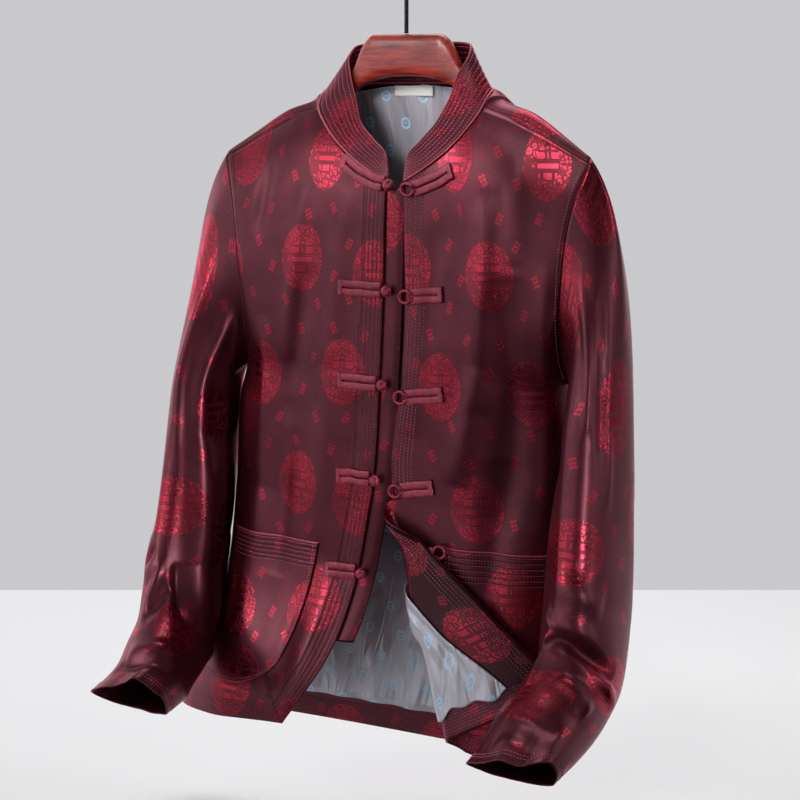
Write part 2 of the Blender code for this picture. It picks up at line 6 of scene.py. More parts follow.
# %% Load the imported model
import bmesh, bpy, json
import numpy as np
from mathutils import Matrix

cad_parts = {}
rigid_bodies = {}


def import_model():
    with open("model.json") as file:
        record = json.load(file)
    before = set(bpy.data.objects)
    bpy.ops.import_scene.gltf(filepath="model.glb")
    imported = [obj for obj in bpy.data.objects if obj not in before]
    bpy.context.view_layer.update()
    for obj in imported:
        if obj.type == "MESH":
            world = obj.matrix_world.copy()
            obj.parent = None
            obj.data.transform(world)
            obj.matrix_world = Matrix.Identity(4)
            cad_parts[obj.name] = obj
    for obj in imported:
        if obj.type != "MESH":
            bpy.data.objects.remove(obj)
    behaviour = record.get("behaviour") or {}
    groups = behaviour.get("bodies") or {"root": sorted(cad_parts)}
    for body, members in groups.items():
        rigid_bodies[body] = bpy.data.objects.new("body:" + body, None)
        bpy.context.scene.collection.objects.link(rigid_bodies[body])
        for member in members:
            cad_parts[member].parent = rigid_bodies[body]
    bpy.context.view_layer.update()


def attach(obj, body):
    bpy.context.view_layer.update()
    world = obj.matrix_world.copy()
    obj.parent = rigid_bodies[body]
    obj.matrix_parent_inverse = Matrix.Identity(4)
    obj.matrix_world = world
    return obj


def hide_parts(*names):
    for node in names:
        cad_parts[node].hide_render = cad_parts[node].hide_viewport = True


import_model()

# %% [markdown]
# The camera stands two metres away, 28 degrees to the side of the opening and at the height of the
# collar. It looks down by ten degrees through a long lens, so the jacket keeps its proportions.

# %% Camera
SIDE_ANGLE, TILT = np.radians(28), np.radians(9.95)
lens_data = bpy.data.cameras.new("view")
lens_data.lens, lens_data.sensor_width = 81.2, 36
camera = bpy.data.objects.new("view", lens_data)
camera.location = (.9328, -1.7692, -.142)
camera.rotation_euler = (np.pi / 2 - TILT, 0, SIDE_ANGLE)
bpy.context.scene.view_settings.view_transform = "Standard"
bpy.context.scene.collection.objects.link(camera)
bpy.context.scene.camera = camera

# %% [markdown]
# Satin shows its folds by what it reflects. The key light stands far out at the left front. Four small
# lights with a narrow spread each lift one place: the neck, a sleeve, a shoulder and the hem. Two tall
# ones behind draw the edges, and the last washes the floor. The world is a bright band round the horizon,
# dimmer above, near the ground and at the right; the camera sees it as a plain pale grey.

# %% Studio
def area_light(name, place, aim, width, height, power, tint=(1, 1, 1), spread=180):
    """A flat light at place, its face turned towards aim."""
    data = bpy.data.lights.new(name, "AREA")
    data.shape, data.size, data.size_y, data.energy, data.color = "RECTANGLE", width, height, power, tint
    data.spread = np.radians(spread)
    lamp = bpy.data.objects.new(name, data)
    lamp.location = place
    away = np.array(place, float) - np.array(aim, float)
    flat = np.hypot(away[0], away[1])
    lamp.rotation_euler = (np.arctan2(flat, away[2]), 0, np.arctan2(away[0], -away[1]))
    bpy.context.scene.collection.objects.link(lamp)

area_light("key_left_front", (-1.45, -2.0, .65), (0, 0, -.5), .8, .5, 7, (1, .985, .97))
area_light("neck_front", (-.02, -.50, .02), (.008, .045, -.190), .22, .16, .064, spread=20)
area_light("sleeve_fill", (1.30, -.60, -.38), (-.215, -.085, -.56), .3, .3, .16, spread=16)
area_light("shoulder_top", (.25, -.99, .95), (.17, -.03, -.21), .3, .3, .033, spread=14)
area_light("hem_front", (-1.35, -1.75, -.10), (-.11, -.06, -.79), .4, .4, .10, spread=15)
area_light("edge_left", (-1.9, .2, .1), (0, 0, -.45), .5, 1.8, 4)
area_light("edge_right", (2.0, .5, .2), (0, 0, -.4), .4, 1.8, 6)
area_light("floor_wash", (-.2, .9, 1.6), (-.35, .75, -1.02), 1.6, 1.6, 38)
world = bpy.data.worlds.new("studio")
world.use_nodes = True
tree = world.node_tree
dim, bright = tree.nodes["Background"], tree.nodes.new("ShaderNodeBackground")
dim.inputs[0].default_value = (.97, .98, 1, 1)
toward = tree.nodes.new("ShaderNodeTexCoord")
parts = tree.nodes.new("ShaderNodeSeparateXYZ")
tree.links.new(toward.outputs["Generated"], parts.inputs[0])
level = None
SKY = ((2, -.42, .02, .10, 1.40), (2, .18, .58, 1, .24), (0, -.2, .5, 1.0, .22))
for axis, low, high, at_low, at_high in SKY:              # each ramp of a direction's axis dims the last
    ramp = tree.nodes.new("ShaderNodeMapRange")
    ramp.interpolation_type = "SMOOTHSTEP"
    tree.links.new(parts.outputs[axis], ramp.inputs[0])
    for k, value in enumerate((low, high, at_low, at_high), 1):
        ramp.inputs[k].default_value = value
    if level is None:
        level = ramp.outputs[0]
    else:
        product = tree.nodes.new("ShaderNodeMath")
        product.operation = "MULTIPLY"
        tree.links.new(level, product.inputs[0])
        tree.links.new(ramp.outputs[0], product.inputs[1])
        level = product.outputs[0]
tree.links.new(level, dim.inputs[1])
bright.inputs[0].default_value, bright.inputs[1].default_value = (.86, .86, .88, 1), .68
sight, either = tree.nodes.new("ShaderNodeLightPath"), tree.nodes.new("ShaderNodeMixShader")
tree.links.new(sight.outputs["Is Camera Ray"], either.inputs[0])
tree.links.new(dim.outputs[0], either.inputs[1])
tree.links.new(bright.outputs[0], either.inputs[2])
tree.links.new(either.outputs[0], tree.nodes["World Output"].inputs[0])
bpy.context.scene.world = world

# %% [markdown]
# The floor is one rectangle of pale grey, 12 cm below the hem.

# %% Floor
def plain(name, rgb, rough):
    """A finish of one colour."""
    m = bpy.data.materials.new(name)
    m.use_nodes = True
    b = m.node_tree.nodes["Principled BSDF"]
    b.inputs["Base Color"].default_value = (*rgb, 1)
    b.inputs["Roughness"].default_value = rough
    return m

FLOOR_Z, NEAR, FAR, HALF = -1.02, -.10, 1.07, 2.4         # reach along the camera's direction, metres
ahead = np.array((-np.sin(SIDE_ANGLE), np.cos(SIDE_ANGLE)))
across = np.array((np.cos(SIDE_ANGLE), np.sin(SIDE_ANGLE)))
corner = [d * ahead + w * across for d, w in ((NEAR, -HALF), (NEAR, HALF), (FAR, HALF), (FAR, -HALF))]
floor_mesh = bpy.data.meshes.new("floor")
floor_mesh.from_pydata([(x, y, FLOOR_Z) for x, y in corner], [], [(0, 1, 2, 3)])
floor_mesh.materials.append(plain("pale_floor", (.92, .92, .93), .7))
floor = bpy.data.objects.new("floor", floor_mesh)
bpy.context.scene.collection.objects.link(floor)

# %% [markdown]
# Every outline of the jacket is a short table of sizes with a smooth curve through it. Two helpers are
# enough: one for the curve, one for a soft step.

# %% Curves through tables
def curve(x, xs, ys):
    """Cubic Hermite through the table, with slopes limited so that it never overshoots."""
    x, xs, ys = (np.asarray(k, float) for k in (x, xs, ys))
    if xs[0] > xs[-1]:
        xs, ys = xs[::-1], ys[::-1]
    h = np.diff(xs)
    d = np.diff(ys) / h
    m = np.zeros_like(ys)
    m[0], m[-1] = d[0], d[-1]
    w1, w2 = 2 * h[1:] + h[:-1], h[1:] + 2 * h[:-1]
    with np.errstate(divide="ignore", invalid="ignore"):
        mean = (w1 + w2) / (w1 / d[:-1] + w2 / d[1:])
    m[1:-1] = np.where(d[:-1] * d[1:] > 0, mean, 0.0)
    xc = np.clip(x, xs[0], xs[-1])
    k = np.clip(np.searchsorted(xs, xc) - 1, 0, len(h) - 1)
    t = (xc - xs[k]) / h[k]
    return ((1 + 2 * t) * (1 - t) ** 2 * ys[k] + t * (1 - t) ** 2 * h[k] * m[k]
            + t * t * (3 - 2 * t) * ys[k + 1] + t * t * (t - 1) * h[k] * m[k + 1])

def ease(x, a, b):
    """0 before a, 1 after b, and 3t^2 - 2t^3 between them."""
    t = np.clip((np.asarray(x, float) - a) / (b - a), 0, 1)
    return t * t * (3 - 2 * t)

# %% [markdown]
# Neck and collar: a loop with s from 0 at the centre back to 1 at the centre front, for each side.

# %% Neck loop and collar
NECK_S = (0, .2, .35, .45, .55, .67, .78, .88, .95, 1)
NECK_X = (0, .055, .090, .102, .100, .087, .068, .043, .024, .011)
NECK_Y = (.045, .037, .017, .000, -.018, -.033, -.044, -.052, -.056, -.058)
NECK_Z = (-.141, -.1415, -.146, -.151, -.167, -.188, -.208, -.227, -.238, -.245)
TOP_X = (0, .045, .070, .074, .066, .058, .050, .030, .0145, .0105)
TOP_Y = (.033, .028, .016, .004, -.008, -.018, -.030, -.041, -.0495, -.055)
TOP_Z = (-.098, -.098, -.101, -.113, -.134, -.160, -.183, -.203, -.217, -.236)
PULLED_IN = {-1: 0, 1: .0065}         # how far the collar's top leans inwards near s .80

def neck_loop(s, side, columns):
    """The point at s of a loop given by three table columns; side is -1 or +1."""
    x = side * curve(s, NECK_S, columns[0]) + .017 * np.clip((np.asarray(s, float) - .55) / .45, 0, 1)
    return np.stack([x, curve(s, NECK_S, columns[1]), curve(s, NECK_S, columns[2])], -1)

def collar_point(s, h, side):
    """Straight line from the neck seam (h 0) to the top edge (h 1)."""
    low = neck_loop(s, side, (NECK_X, NECK_Y, NECK_Z))
    high = neck_loop(s, side, (TOP_X, TOP_Y, TOP_Z))
    high[..., 0] -= PULLED_IN[side] * np.exp(-((s - .80) / .11) ** 2)
    return low * (1 - h)[..., None] + high * h[..., None]

# %% [markdown]
# The body is a rounded section at every height. Tables give where its opening edge and its side lie.

# %% Body outline
SIDE_Z = (-.222, -.258, -.296, -.336, -.38, -.43, -.46, -.478, -.50, -.60, -.70, -.755, -.80, -.90)
FRONT_X = {-1: (-.222, -.206, -.196, -.190, -.187, -.190, -.197, -.204, -.213, -.2235, -.2385, -.2545,
                -.276, -.302),
           1: (.222, .215, .209, .206, .202, .197, .195, .195, .196, .204, .210, .210, .202, .185)}
FRONT_Y = {-1: (-.018, -.035, -.044, -.048, -.044, -.030, -.012, -.006, .000, .008, .016, .022, .022, .008),
           1: (-.018, -.035, -.044, -.048, -.044, -.025, -.000, .008, .015, .030, .035, .034, .028, .018)}
BACK_Y = {-1: (.000, .030, .042, .045, .042, .022, -.011), 1: (.000, .030, .042, .045, .042, .026, .001)}
EDGE_Z = {-1: (-.245, -.35, -.45, -.54, -.58, -.62, -.69, -.745, -.78, -.82, -.872),
          1: (-.245, -.38, -.46, -.505, -.56, -.592, -.647, -.676, -.71, -.739, -.76, -.80, -.839, -.872)}
EDGE_X = {-1: (.006, .005, .001, -.004, -.008, -.015, -.029, -.042, -.055, -.078, -.116),
          1: (.028, .032, .028, .021, .015, .016, .038, .048, .054, .062, .077, .090, .101, .110)}
EDGE_Y_Z = (-.16, -.22, -.30, -.45, -.60, -.75, -.90)
EDGE_Y = (-.056, -.058, -.062, -.064, -.064, -.064, -.066)
SHOULDER_X = (.097, .13, .17, .20, .222)
SHOULDER_Z = (-.1665, -.1775, -.1965, -.2125, -.2237)
HEM_BACK, UNDERARM, ROUND = -.904, -.46, .82

def side_x(z, side):
    """Where a side's seam lies at height z."""
    return curve(z, SIDE_Z, FRONT_X[side])

def edge_x(z, side):
    """Where a front's opening edge lies at height z."""
    return curve(z, EDGE_Z[side], EDGE_X[side])

def front_depth(z, side):
    """Depth of the opening edge; the knot side swings forward near the hem."""
    base = curve(z, EDGE_Y_Z, EDGE_Y)
    return base - .033 * ease(-z, .67, .84) if side < 0 else base

def section(u, z, side, half):
    """x and y at u of the way round: sine and cosine to the power 0.82, so the corners are full."""
    t = np.clip(u, 0, 1) * np.pi / 2
    if half == "front":
        x0, y0, y1 = edge_x(z, side), front_depth(z, side), curve(z, SIDE_Z, FRONT_Y[side])
    else:
        x0 = curve(z, (-.2, -.55, -.90), (.0, .0, -.045))
        y0 = curve(z, (-.14, -.22, -.34, -.6, -.9), (.047, .056, .062, .056, .047))
        y1 = curve(z, SIDE_Z, BACK_Y[side] + FRONT_Y[side][7:])
    return x0 + (side_x(z, side) - x0) * np.sin(t) ** ROUND, y1 + (y0 - y1) * np.cos(t) ** ROUND

def front_top(x, side):
    """Depth and height of a front's upper border over x: the neckline, then the shoulder seam."""
    n = neck_loop(np.linspace(.55, 1, 60), side, (NECK_X, NECK_Y, NECK_Z))
    ax = np.concatenate([side * n[::-1, 0], SHOULDER_X[1:]])
    return (np.interp(side * x, ax, np.concatenate([n[::-1, 1], [-.018] * 4])),
            np.interp(side * x, ax, np.concatenate([n[::-1, 2], SHOULDER_Z[1:]])))

def front_hem(u, side):
    """Height of a front's lower edge, from the opening (u 0) to the side (u 1)."""
    heights = (-.861, -.870, -.880, -.896) if side < 0 else (-.868, -.880, -.892, -.898)
    return curve(u, (0, .35, .7, 1) if side < 0 else (0, .3, .7, 1), heights)

# %% [markdown]
# Hanging cloth has a few broad folds. Each is a ridge along a line: it fades to nothing at both ends,
# and falls away on both sides like a bell. A negative height makes a trough.

# %% Soft folds
def folds(a, b, table):
    """Sum over the lines (a0, b0, a1, b1, width, height): height * exp(-(distance / width)^2) * fade."""
    total = np.zeros(np.broadcast(a, b).shape)
    for a0, b0, a1, b1, width, height in table:
        length = np.hypot(a1 - a0, b1 - b0)
        ca, cb = (a1 - a0) / length, (b1 - b0) / length
        along = ((a - a0) * ca + (b - b0) * cb) / length
        across = (b - b0) * ca - (a - a0) * cb
        fade = np.clip(4 * along * (1 - along), 0, 1) ** .7
        total = total + height * np.exp(-(across / width) ** 2) * fade
    return total

FRONT_FOLDS = {           # x, z of the two ends, half width, height; all in metres
    -1: ((-.091, -.34, -.123, -.52, .014, -.00416), (-.118, -.49, -.138, -.70, .015, -.0039),
         (-.043, -.25, -.064, -.45, .013, .00325), (-.099, -.25, -.120, -.45, .010, .00364),
         (-.148, -.225, -.160, -.31, .011, -.0039), (-.152, -.40, -.172, -.66, .013, .00364),
         (-.060, -.42, -.085, -.66, .015, .00325), (-.030, -.48, -.045, -.70, .011, -.00286),
         (-.058, -.68, -.104, -.86, .016, .00585), (-.095, -.69, -.137, -.87, .013, -.00195),
         (-.170, -.60, -.205, -.89, .030, .00845)),
    1: ((.126, -.25, .116, -.49, .013, .0065), (.116, -.44, .092, -.57, .012, .00585),
        (.152, -.34, .148, -.62, .018, -.0091), (.140, -.54, .128, -.72, .015, -.00585),
        (.192, -.32, .184, -.63, .009, .00455), (.072, -.28, .060, -.42, .011, -.00234),
        (.150, -.21, .158, -.33, .014, .0039), (.050, -.36, .040, -.52, .012, .0026))}

def front_point(u, v, side):
    """Front panel: u from the opening to the side, v from the top to the hem, then its folds."""
    u, v = np.broadcast_arrays(np.asarray(u, float), np.asarray(v, float))
    xt, _ = section(u, np.full(u.shape, -.2237), side, "front")
    for _ in range(6):
        _, zt = front_top(xt, side)
        xt, ys = section(u, zt, side, "front")
    yt, zt = front_top(xt, side)
    z = zt + (front_hem(u, side) - zt) * v
    x, y = section(u, z, side, "front")
    y = y + (yt - ys) * np.exp(-(zt - z) / .045)
    still = ease(zt - z, 0, .05) * ease(1 - u, 0, .15)
    return np.stack([x, y - folds(x, z, FRONT_FOLDS[side]) * still, z], -1)

def front_y(x, z, side):
    """Depth of the front panel at x, z, its folds included: the same formula solved for u."""
    x, z = np.broadcast_arrays(np.asarray(x, float), np.asarray(z, float))
    x0, xs = edge_x(z, side), side_x(z, side)
    t = np.arcsin(np.clip((x - x0) / (xs - x0), 0, .999) ** (1 / ROUND))
    y1 = curve(z, SIDE_Z, FRONT_Y[side])
    y = y1 + (front_depth(z, side) - y1) * np.cos(t) ** ROUND
    u = t / (np.pi / 2)
    xt, _ = section(u, np.full(z.shape, -.2237), side, "front")
    yt, zt = front_top(xt, side)
    zt = np.maximum(zt, z)
    _, ys = section(u, zt, side, "front")
    still = ease(zt - z, 0, .05) * ease(1 - u, 0, .15)
    return y + (yt - ys) * np.exp(-(zt - z) / .045) - folds(x, z, FRONT_FOLDS[side]) * still

# %% [markdown]
# The back goes from the neck over the shoulder ridge, then down to the hem.

# %% Back
BT_U = (0, .22, .36, .44, .50, .66, .84, 1.0)
BT_X = (0, .055, .090, .1015, .100, .140, .186, .222)
BT_Y = (.045, .037, .017, .000, -.0172, -.0172, -.0172, -.0172)
BT_Z = (-.141, -.1415, -.146, -.151, -.1660, -.1815, -.2050, -.2230)
BT_L = (0, 0, 0, .001, .0100, .0095, .0080, .0060)
BACK_FOLDS = ((-.05, -.26, -.07, -.85, .028, .005), (.05, -.30, .06, -.86, .026, .005),
              (0, -.36, -.02, -.88, .024, -.005), (-.11, -.26, -.14, -.84, .024, -.005),
              (.11, -.26, .12, -.84, .024, -.005), (-.16, -.50, -.19, -.88, .02, .004))

def back_point(u, v, side):
    """Back panel: u from the centre to the side, v from the neck and shoulder seam to the hem."""
    u, v = np.broadcast_arrays(np.asarray(u, float), np.asarray(v, float))
    yt, zt, lift, xt = (curve(u, BT_U, c) for c in (BT_Y, BT_Z, BT_L, BT_X))
    run = (zt + 2 * lift - HEM_BACK - .004 * u ** 2) * (.35 * v ** 2 + .65 * v ** 1.3)
    z = zt + 2 * lift * (1 - np.exp(-run / .01)) - run * (1 - np.exp(-run / .03))
    x, ys = section(u, z, side, "back")
    xb, _ = section(u, np.minimum(zt, -.2237), side, "back")
    x = x + (side * xt - xb) * np.exp(-run / .07)
    y = yt + (ys - yt) * (1 - np.exp(-run / .035))
    still = ease(run, .02, .12) * ease(1 - u, 0, .18)
    return np.stack([x, y + folds(x, z, BACK_FOLDS) * still, z], -1)

# %% [markdown]
# The lower corner of the loop-side front is turned back. It rolls round the fold line, then lies flat.

# %% Turned-back corner
FOLD_TOP, FLAP_APEX, FLAP_CORNER = -.592, (.016, -.592), (.222, -.778)

def flap_rows(t):
    """Fold line, roll radius and free edge at t, from the top of the fold (0) to the hem (1)."""
    zf = FOLD_TOP + (front_hem(0., 1) - FOLD_TOP) * t
    gx = FLAP_APEX[0] + (FLAP_CORNER[0] - FLAP_APEX[0]) * t
    gz = FLAP_APEX[1] + (FLAP_CORNER[1] - FLAP_APEX[1]) * t
    return edge_x(zf, 1), front_depth(zf, 1), zf, .0055 + .0095 * t, gx, gz

def flap_point(t, a):
    """a from 0 to 1 goes round the roll, from 1 to 2 flat to the free edge, lifting as a square."""
    t, a = np.broadcast_arrays(np.asarray(t, float), np.asarray(a, float))
    xf, yf, zf, r, gx, gz = flap_rows(t)
    turn = np.pi * ease(t, 0, .22)
    flat = np.maximum(gx - xf, 0)
    phi, s = turn * np.minimum(a, 1), flat * np.clip(a - 1, 0, 1)
    x = xf - r * np.sin(phi) - s * np.cos(turn)
    y = yf - r * (1 - np.cos(phi)) - s * np.sin(turn) + .040 * (s / .112) ** 2
    along = (phi * r + s) / np.maximum(turn * r + flat, 1e-6)
    return np.stack([x, y, zf + (gz - zf) * along], -1)

# %% [markdown]
# Each sleeve starts on the armhole, runs over the arm's cap and then follows a table of tilted
# sections, bent forward at the elbow.

# %% Sleeve shape
SLEEVE = {1: np.array([           # centre x, y, z, tilt in degrees, half widths across and front to back
    (.2440, -.029, -.50, 4, .027, .066), (.2455, -.035, -.57, 8, .029, .073),
    (.2480, -.045, -.64, 11, .031, .077), (.2515, -.063, -.70, 18, .033, .076),
    (.2510, -.088, -.742, 32, .036, .067), (.2465, -.124, -.770, 45, .039, .055),
    (.2390, -.172, -.792, 52, .043, .045), (.2330, -.222, -.812, 50, .047, .038)])}
SLEEVE[-1] = SLEEVE[1] + np.array([    # this one hangs a little flatter against the body
    (.0022, -.0040, 0, 0, -.0025, -.0040), (.0027, -.0045, 0, 0, -.0028, -.0045),
    (.0030, -.0045, 0, 0, -.0030, -.0045), (.0033, -.0050, 0, 0, -.0032, -.0050),
    (.0025, -.0020, 0, 0, -.0025, -.0020), (.0005, 0, 0, 0, -.0005, 0), (0,) * 6, (0,) * 6])
CAP = .30

def evenly(p, count):
    """count points at even steps along a line of points."""
    d = np.concatenate([[0], np.cumsum(np.linalg.norm(np.diff(p, axis=0), axis=1))])
    q = np.linspace(0, d[-1], count)
    return np.stack([np.interp(q, d, p[:, i]) for i in range(3)], -1)

def armhole(side):
    """The body's armhole: two lines from the shoulder point to the underarm, by the front and by the back."""
    v = np.linspace(0, 1, 400)
    f = front_point(np.ones(400), v, side)
    b = back_point(np.ones(400), v, side)
    f, b = f[f[:, 2] >= UNDERARM][::-1], b[b[:, 2] >= UNDERARM - .0005]
    k = len(f) + int(np.argmax(b[:, 2]))
    loop = np.concatenate([f, b])
    return evenly(loop[:k + 1], 200)[::-1], evenly(loop[k:], 200)

def sleeve_section(p, theta, side):
    """Superellipse of power 2.3 at p of the way down the table."""
    k = np.linspace(0, 1, len(SLEEVE[side]))
    cx, cy, cz, tilt, a, b = (curve(p, k, SLEEVE[side][:, i]) for i in range(6))
    g = np.radians(tilt)
    c, s = (np.sign(f(theta)) * np.abs(f(theta)) ** (2 / 2.3) for f in (np.cos, np.sin))
    return np.stack([side * (cx + a * c), cy - b * s * np.cos(g), cz + b * s * np.sin(g)], -1)

def sleeve_point(w, theta, side):
    """w 0 at the armhole, 1 at the cuff; theta 0 outward, 90 degrees front. The cap is a Hermite blend."""
    w, theta = np.broadcast_arrays(np.asarray(w, float), np.asarray(theta, float))
    th = np.mod(theta, 2 * np.pi)
    q = np.where(th <= np.pi, th, 2 * np.pi - th) / np.pi
    front, back = (np.stack([np.interp(q, np.linspace(0, 1, 200), line[:, i]) for i in range(3)], -1)
                   for line in armhole(side))
    A = np.where((th <= np.pi)[..., None], front, back)
    B = sleeve_section(np.zeros(w.shape), theta, side)
    L = np.linalg.norm(B - A, axis=-1)
    t = np.clip(w / CAP, 0, 1)[..., None]
    dA = np.stack([side * (.097 + .045 * np.cos(theta)), np.zeros(w.shape), -.6 * L], -1)
    dB = (sleeve_section(np.full(w.shape, .02), theta, side) - B) / .02 * np.clip(L / .5, .05, .6)[..., None]
    cap = ((1 + 2 * t) * (1 - t) ** 2 * A + t * (1 - t) ** 2 * dA
           + t * t * (3 - 2 * t) * B + t * t * (t - 1) * dB)
    low = sleeve_section(np.clip((w - CAP) / (1 - CAP), 0, 1), theta, side)
    return np.where((w < CAP)[..., None], cap, low)

# %% [markdown]
# Every cloth piece becomes a mesh the same way. Its UV map "cloth" is in metres on the flat cloth. Two
# more maps give each face its place inside the nearest woven roundel and the nearest small square, and
# the map "rows" counts the stitch rows from an edge: it is a whole number on a row of stitches.

# %% Woven layout
ACROSS, DOWN = .128, .124                      # spacing of the roundels on the flat cloth
ROUNDEL = (.0310, .0375)                       # half width and half height of one
SQUARE_STEP = (.050, .033)                     # spacing of the small squares

def half_drop(origin, across, down, reach=14):
    """Centres of a layout whose every second row is moved half a step aside."""
    row, column = np.meshgrid(np.arange(-reach, reach + 1), np.arange(-reach, reach + 1))
    x = origin[0] + (column + (row % 2) / 2) * across
    return np.stack([x, origin[1] + row * down], -1).reshape(-1, 2)

def roundel_centres(given, origin):
    """The roundels listed for a piece, and the even layout wherever it stays clear of them."""
    grid = half_drop(origin, ACROSS, DOWN)
    if not len(given):
        return grid
    given = np.array(given, float)
    gap = np.hypot(*(grid[:, None] - given[None]).transpose(2, 0, 1)).min(1)
    return np.concatenate([given, grid[gap > .098]])

def square_centres(roundels, origin):
    """Small squares on their own layout, a little scattered, none of them touching a roundel."""
    grid = half_drop(origin, *SQUARE_STEP, reach=26)
    wave = grid @ np.array([[71., 40.], [33., -57.]])
    grid = grid + .0045 * np.sin(wave)
    rel = (grid[:, None] - roundels[None]) / (np.array(ROUNDEL) + .0065)
    grid = grid[np.hypot(rel[..., 0], rel[..., 1]).min(1) > 1]
    return grid, np.radians(26) * np.sign(np.sin(wave[:len(grid), 0] * 1.7)) + .15 * np.sin(grid[:, 1] * 310)

def nearest(p, centres):
    """For each point, which centre is closest."""
    best, pick = np.full(len(p), 9.0), np.zeros(len(p), int)
    for k in range(0, len(centres), 64):
        d = np.hypot(*(p[:, None] - centres[None, k:k + 64]).transpose(2, 0, 1))
        j = d.argmin(1)
        near = d[np.arange(len(p)), j]
        pick = np.where(near < best, j + k, pick)
        best = np.minimum(best, near)
    return pick

# %% [markdown]
# A grid of points becomes a mesh of squares in one call, and a modifier gives it the thickness of cloth.
# The same call measures the cut: the longest grid line each way, and the area of all the squares.

# %% Grids into meshes
def grid_faces(rows, cols, wrap=False):
    """Vertex and corner indices of every square; a wrapped grid's last column closes on its first."""
    r, c = np.meshgrid(np.arange(rows - 1), np.arange(cols if wrap else cols - 1), indexing="ij")
    quads = [np.stack([i * n + c, i * n + c + 1, (i + 1) * n + c + 1, (i + 1) * n + c], -1).reshape(-1, 4)
             for i, n in ((r, cols), (r, cols + 1 if wrap else cols))]
    if wrap:
        quads[0] = np.stack([r * cols + c, r * cols + (c + 1) % cols, (r + 1) * cols + (c + 1) % cols,
                             (r + 1) * cols + c], -1).reshape(-1, 4)
    return quads

def new_mesh(name, verts, faces, maps, finish):
    """Builds one object from arrays: verts, quads, and UV maps given per face corner."""
    me = bpy.data.meshes.new(name)
    me.vertices.add(len(verts))
    me.vertices.foreach_set("co", np.asarray(verts, np.float32).ravel())
    me.loops.add(faces.size)
    me.loops.foreach_set("vertex_index", faces.astype(np.int32).ravel())
    me.polygons.add(len(faces))
    me.polygons.foreach_set("loop_start", np.arange(0, faces.size, faces.shape[1], dtype=np.int32))
    me.polygons.foreach_set("loop_total", np.full(len(faces), faces.shape[1], np.int32))
    me.polygons.foreach_set("use_smooth", np.ones(len(faces), bool))
    me.update(calc_edges=True)
    for key, value in maps.items():
        me.uv_layers.new(name=key).uv.foreach_set("vector", np.asarray(value, np.float32).ravel())
    me.materials.append(finish)
    ob = bpy.data.objects.new(name, me)
    bpy.context.scene.collection.objects.link(ob)
    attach(ob, "root")
    return ob

MADE = {}                 # name: piece, size of its cut, area; stitches have no size

def cloth(name, grid, uv, finish, origin=(0, 0), given=(), rows=None, wall=.0012, wrap=False,
          extra=None, shape=(1, 1)):
    """A thin wall of cloth on a grid of points, with its maps, in the place of the CAD node of its name.

    rows is the stitch-row count per point, given the roundels listed, extra the squares beyond
    the grid, and shape how much the roundels are drawn narrower and longer.
    """
    quads, corners = grid_faces(*grid.shape[:2], wrap)
    verts = grid.reshape(-1, 3)
    flat = uv.reshape(-1, 2)[corners]
    rows = np.full(uv.shape, .5) if rows is None else rows
    rows = rows.reshape(-1, 2)[corners]
    if extra is not None:
        more_verts, more_quads, more_flat, more_rows = extra
        verts = np.concatenate([verts, more_verts])
        pairs = (quads, more_quads), (flat, more_flat), (rows, more_rows)
        quads, flat, rows = (np.concatenate(k) for k in pairs)
    middle = flat.mean(1)
    inside = lambda c: ((c > middle.min(0) - .06) & (c < middle.max(0) + .06)).all(1)
    roundels = roundel_centres(given, origin)
    roundels = roundels[inside(roundels)]
    centre = roundels[nearest(middle, roundels)]
    squares, tilts = square_centres(roundels, origin)
    squares, tilts = squares[inside(squares)], tilts[inside(squares)]
    which = nearest(middle, squares)
    d, turn = flat - squares[which][:, None], tilts[which]
    c, s = np.cos(turn)[:, None], np.sin(turn)[:, None]
    local = np.stack([d[..., 0] * c + d[..., 1] * s, d[..., 1] * c - d[..., 0] * s], -1)
    maps = {"cloth": flat, "roundel": (flat - centre[:, None]) * shape, "square": local, "rows": rows}
    ob = new_mesh(name + "_cloth", verts, quads, maps, finish)
    thick = ob.modifiers.new("wall", "SOLIDIFY")
    thick.thickness, thick.offset, thick.use_even_offset = wall, 0.0, False
    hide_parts(name)
    p = verts[quads]
    area = np.linalg.norm(np.cross(p[:, 2] - p[:, 0], p[:, 3] - p[:, 1]), axis=1).sum() / 2
    closed = np.concatenate([grid, grid[:, :1]], 1) if wrap else grid
    longest = [lengths(closed, axis).max() for axis in (1, 0)]
    size = [max(float(a), float(b)) for a, b in zip(np.ptp(flat.reshape(-1, 2), axis=0), longest)]
    MADE[ob.name] = ob, size, min(float(area), size[0] * size[1])
    print(f"{ob.name}: {len(quads)} squares, cut {size[0]:.3f} x {size[1]:.3f} m, {area:.3f} m2")

def lengths(grid, axis):
    """Distance along each grid line from its first point, in metres."""
    d = np.linalg.norm(np.diff(grid, axis=axis), axis=-1)
    zero = np.zeros_like(np.take(d, [0], axis))
    return np.concatenate([zero, np.cumsum(d, axis)], axis)

def row_count(distance, first, pitch, count):
    """Stitch rows counted from an edge: 1 on the first row, count on the last, 0.5 before and after."""
    return np.clip((distance - first) / pitch + 1, .5, count + .5)

def counts(a, b=.5):
    """The two counts of the map "rows" per point; 0.5 where there are no rows."""
    return np.stack(np.broadcast_arrays(a, b), -1)

def from_last(g, axis):
    """Distance of each point from the last row (axis 0) or the last column (axis 1)."""
    return np.flip(lengths(np.flip(g, axis), axis), axis)

def both_sides(point, across, down):
    """One grid from a function of a half: across runs from -1 to 1, and the first half is mirrored."""
    u, v = np.broadcast_arrays(across[None], down)
    k = len(across) // 2
    return np.concatenate([point(-u[:, :k], v[:, :k], -1), point(u[:, k:], v[:, k:], 1)], 1)

# %% [markdown]
# Stitches are short raised threads. Each row is the line where a distance, kept on the grid, reaches
# the row's value; it is cut into even steps, and each step gets one small rounded bar.

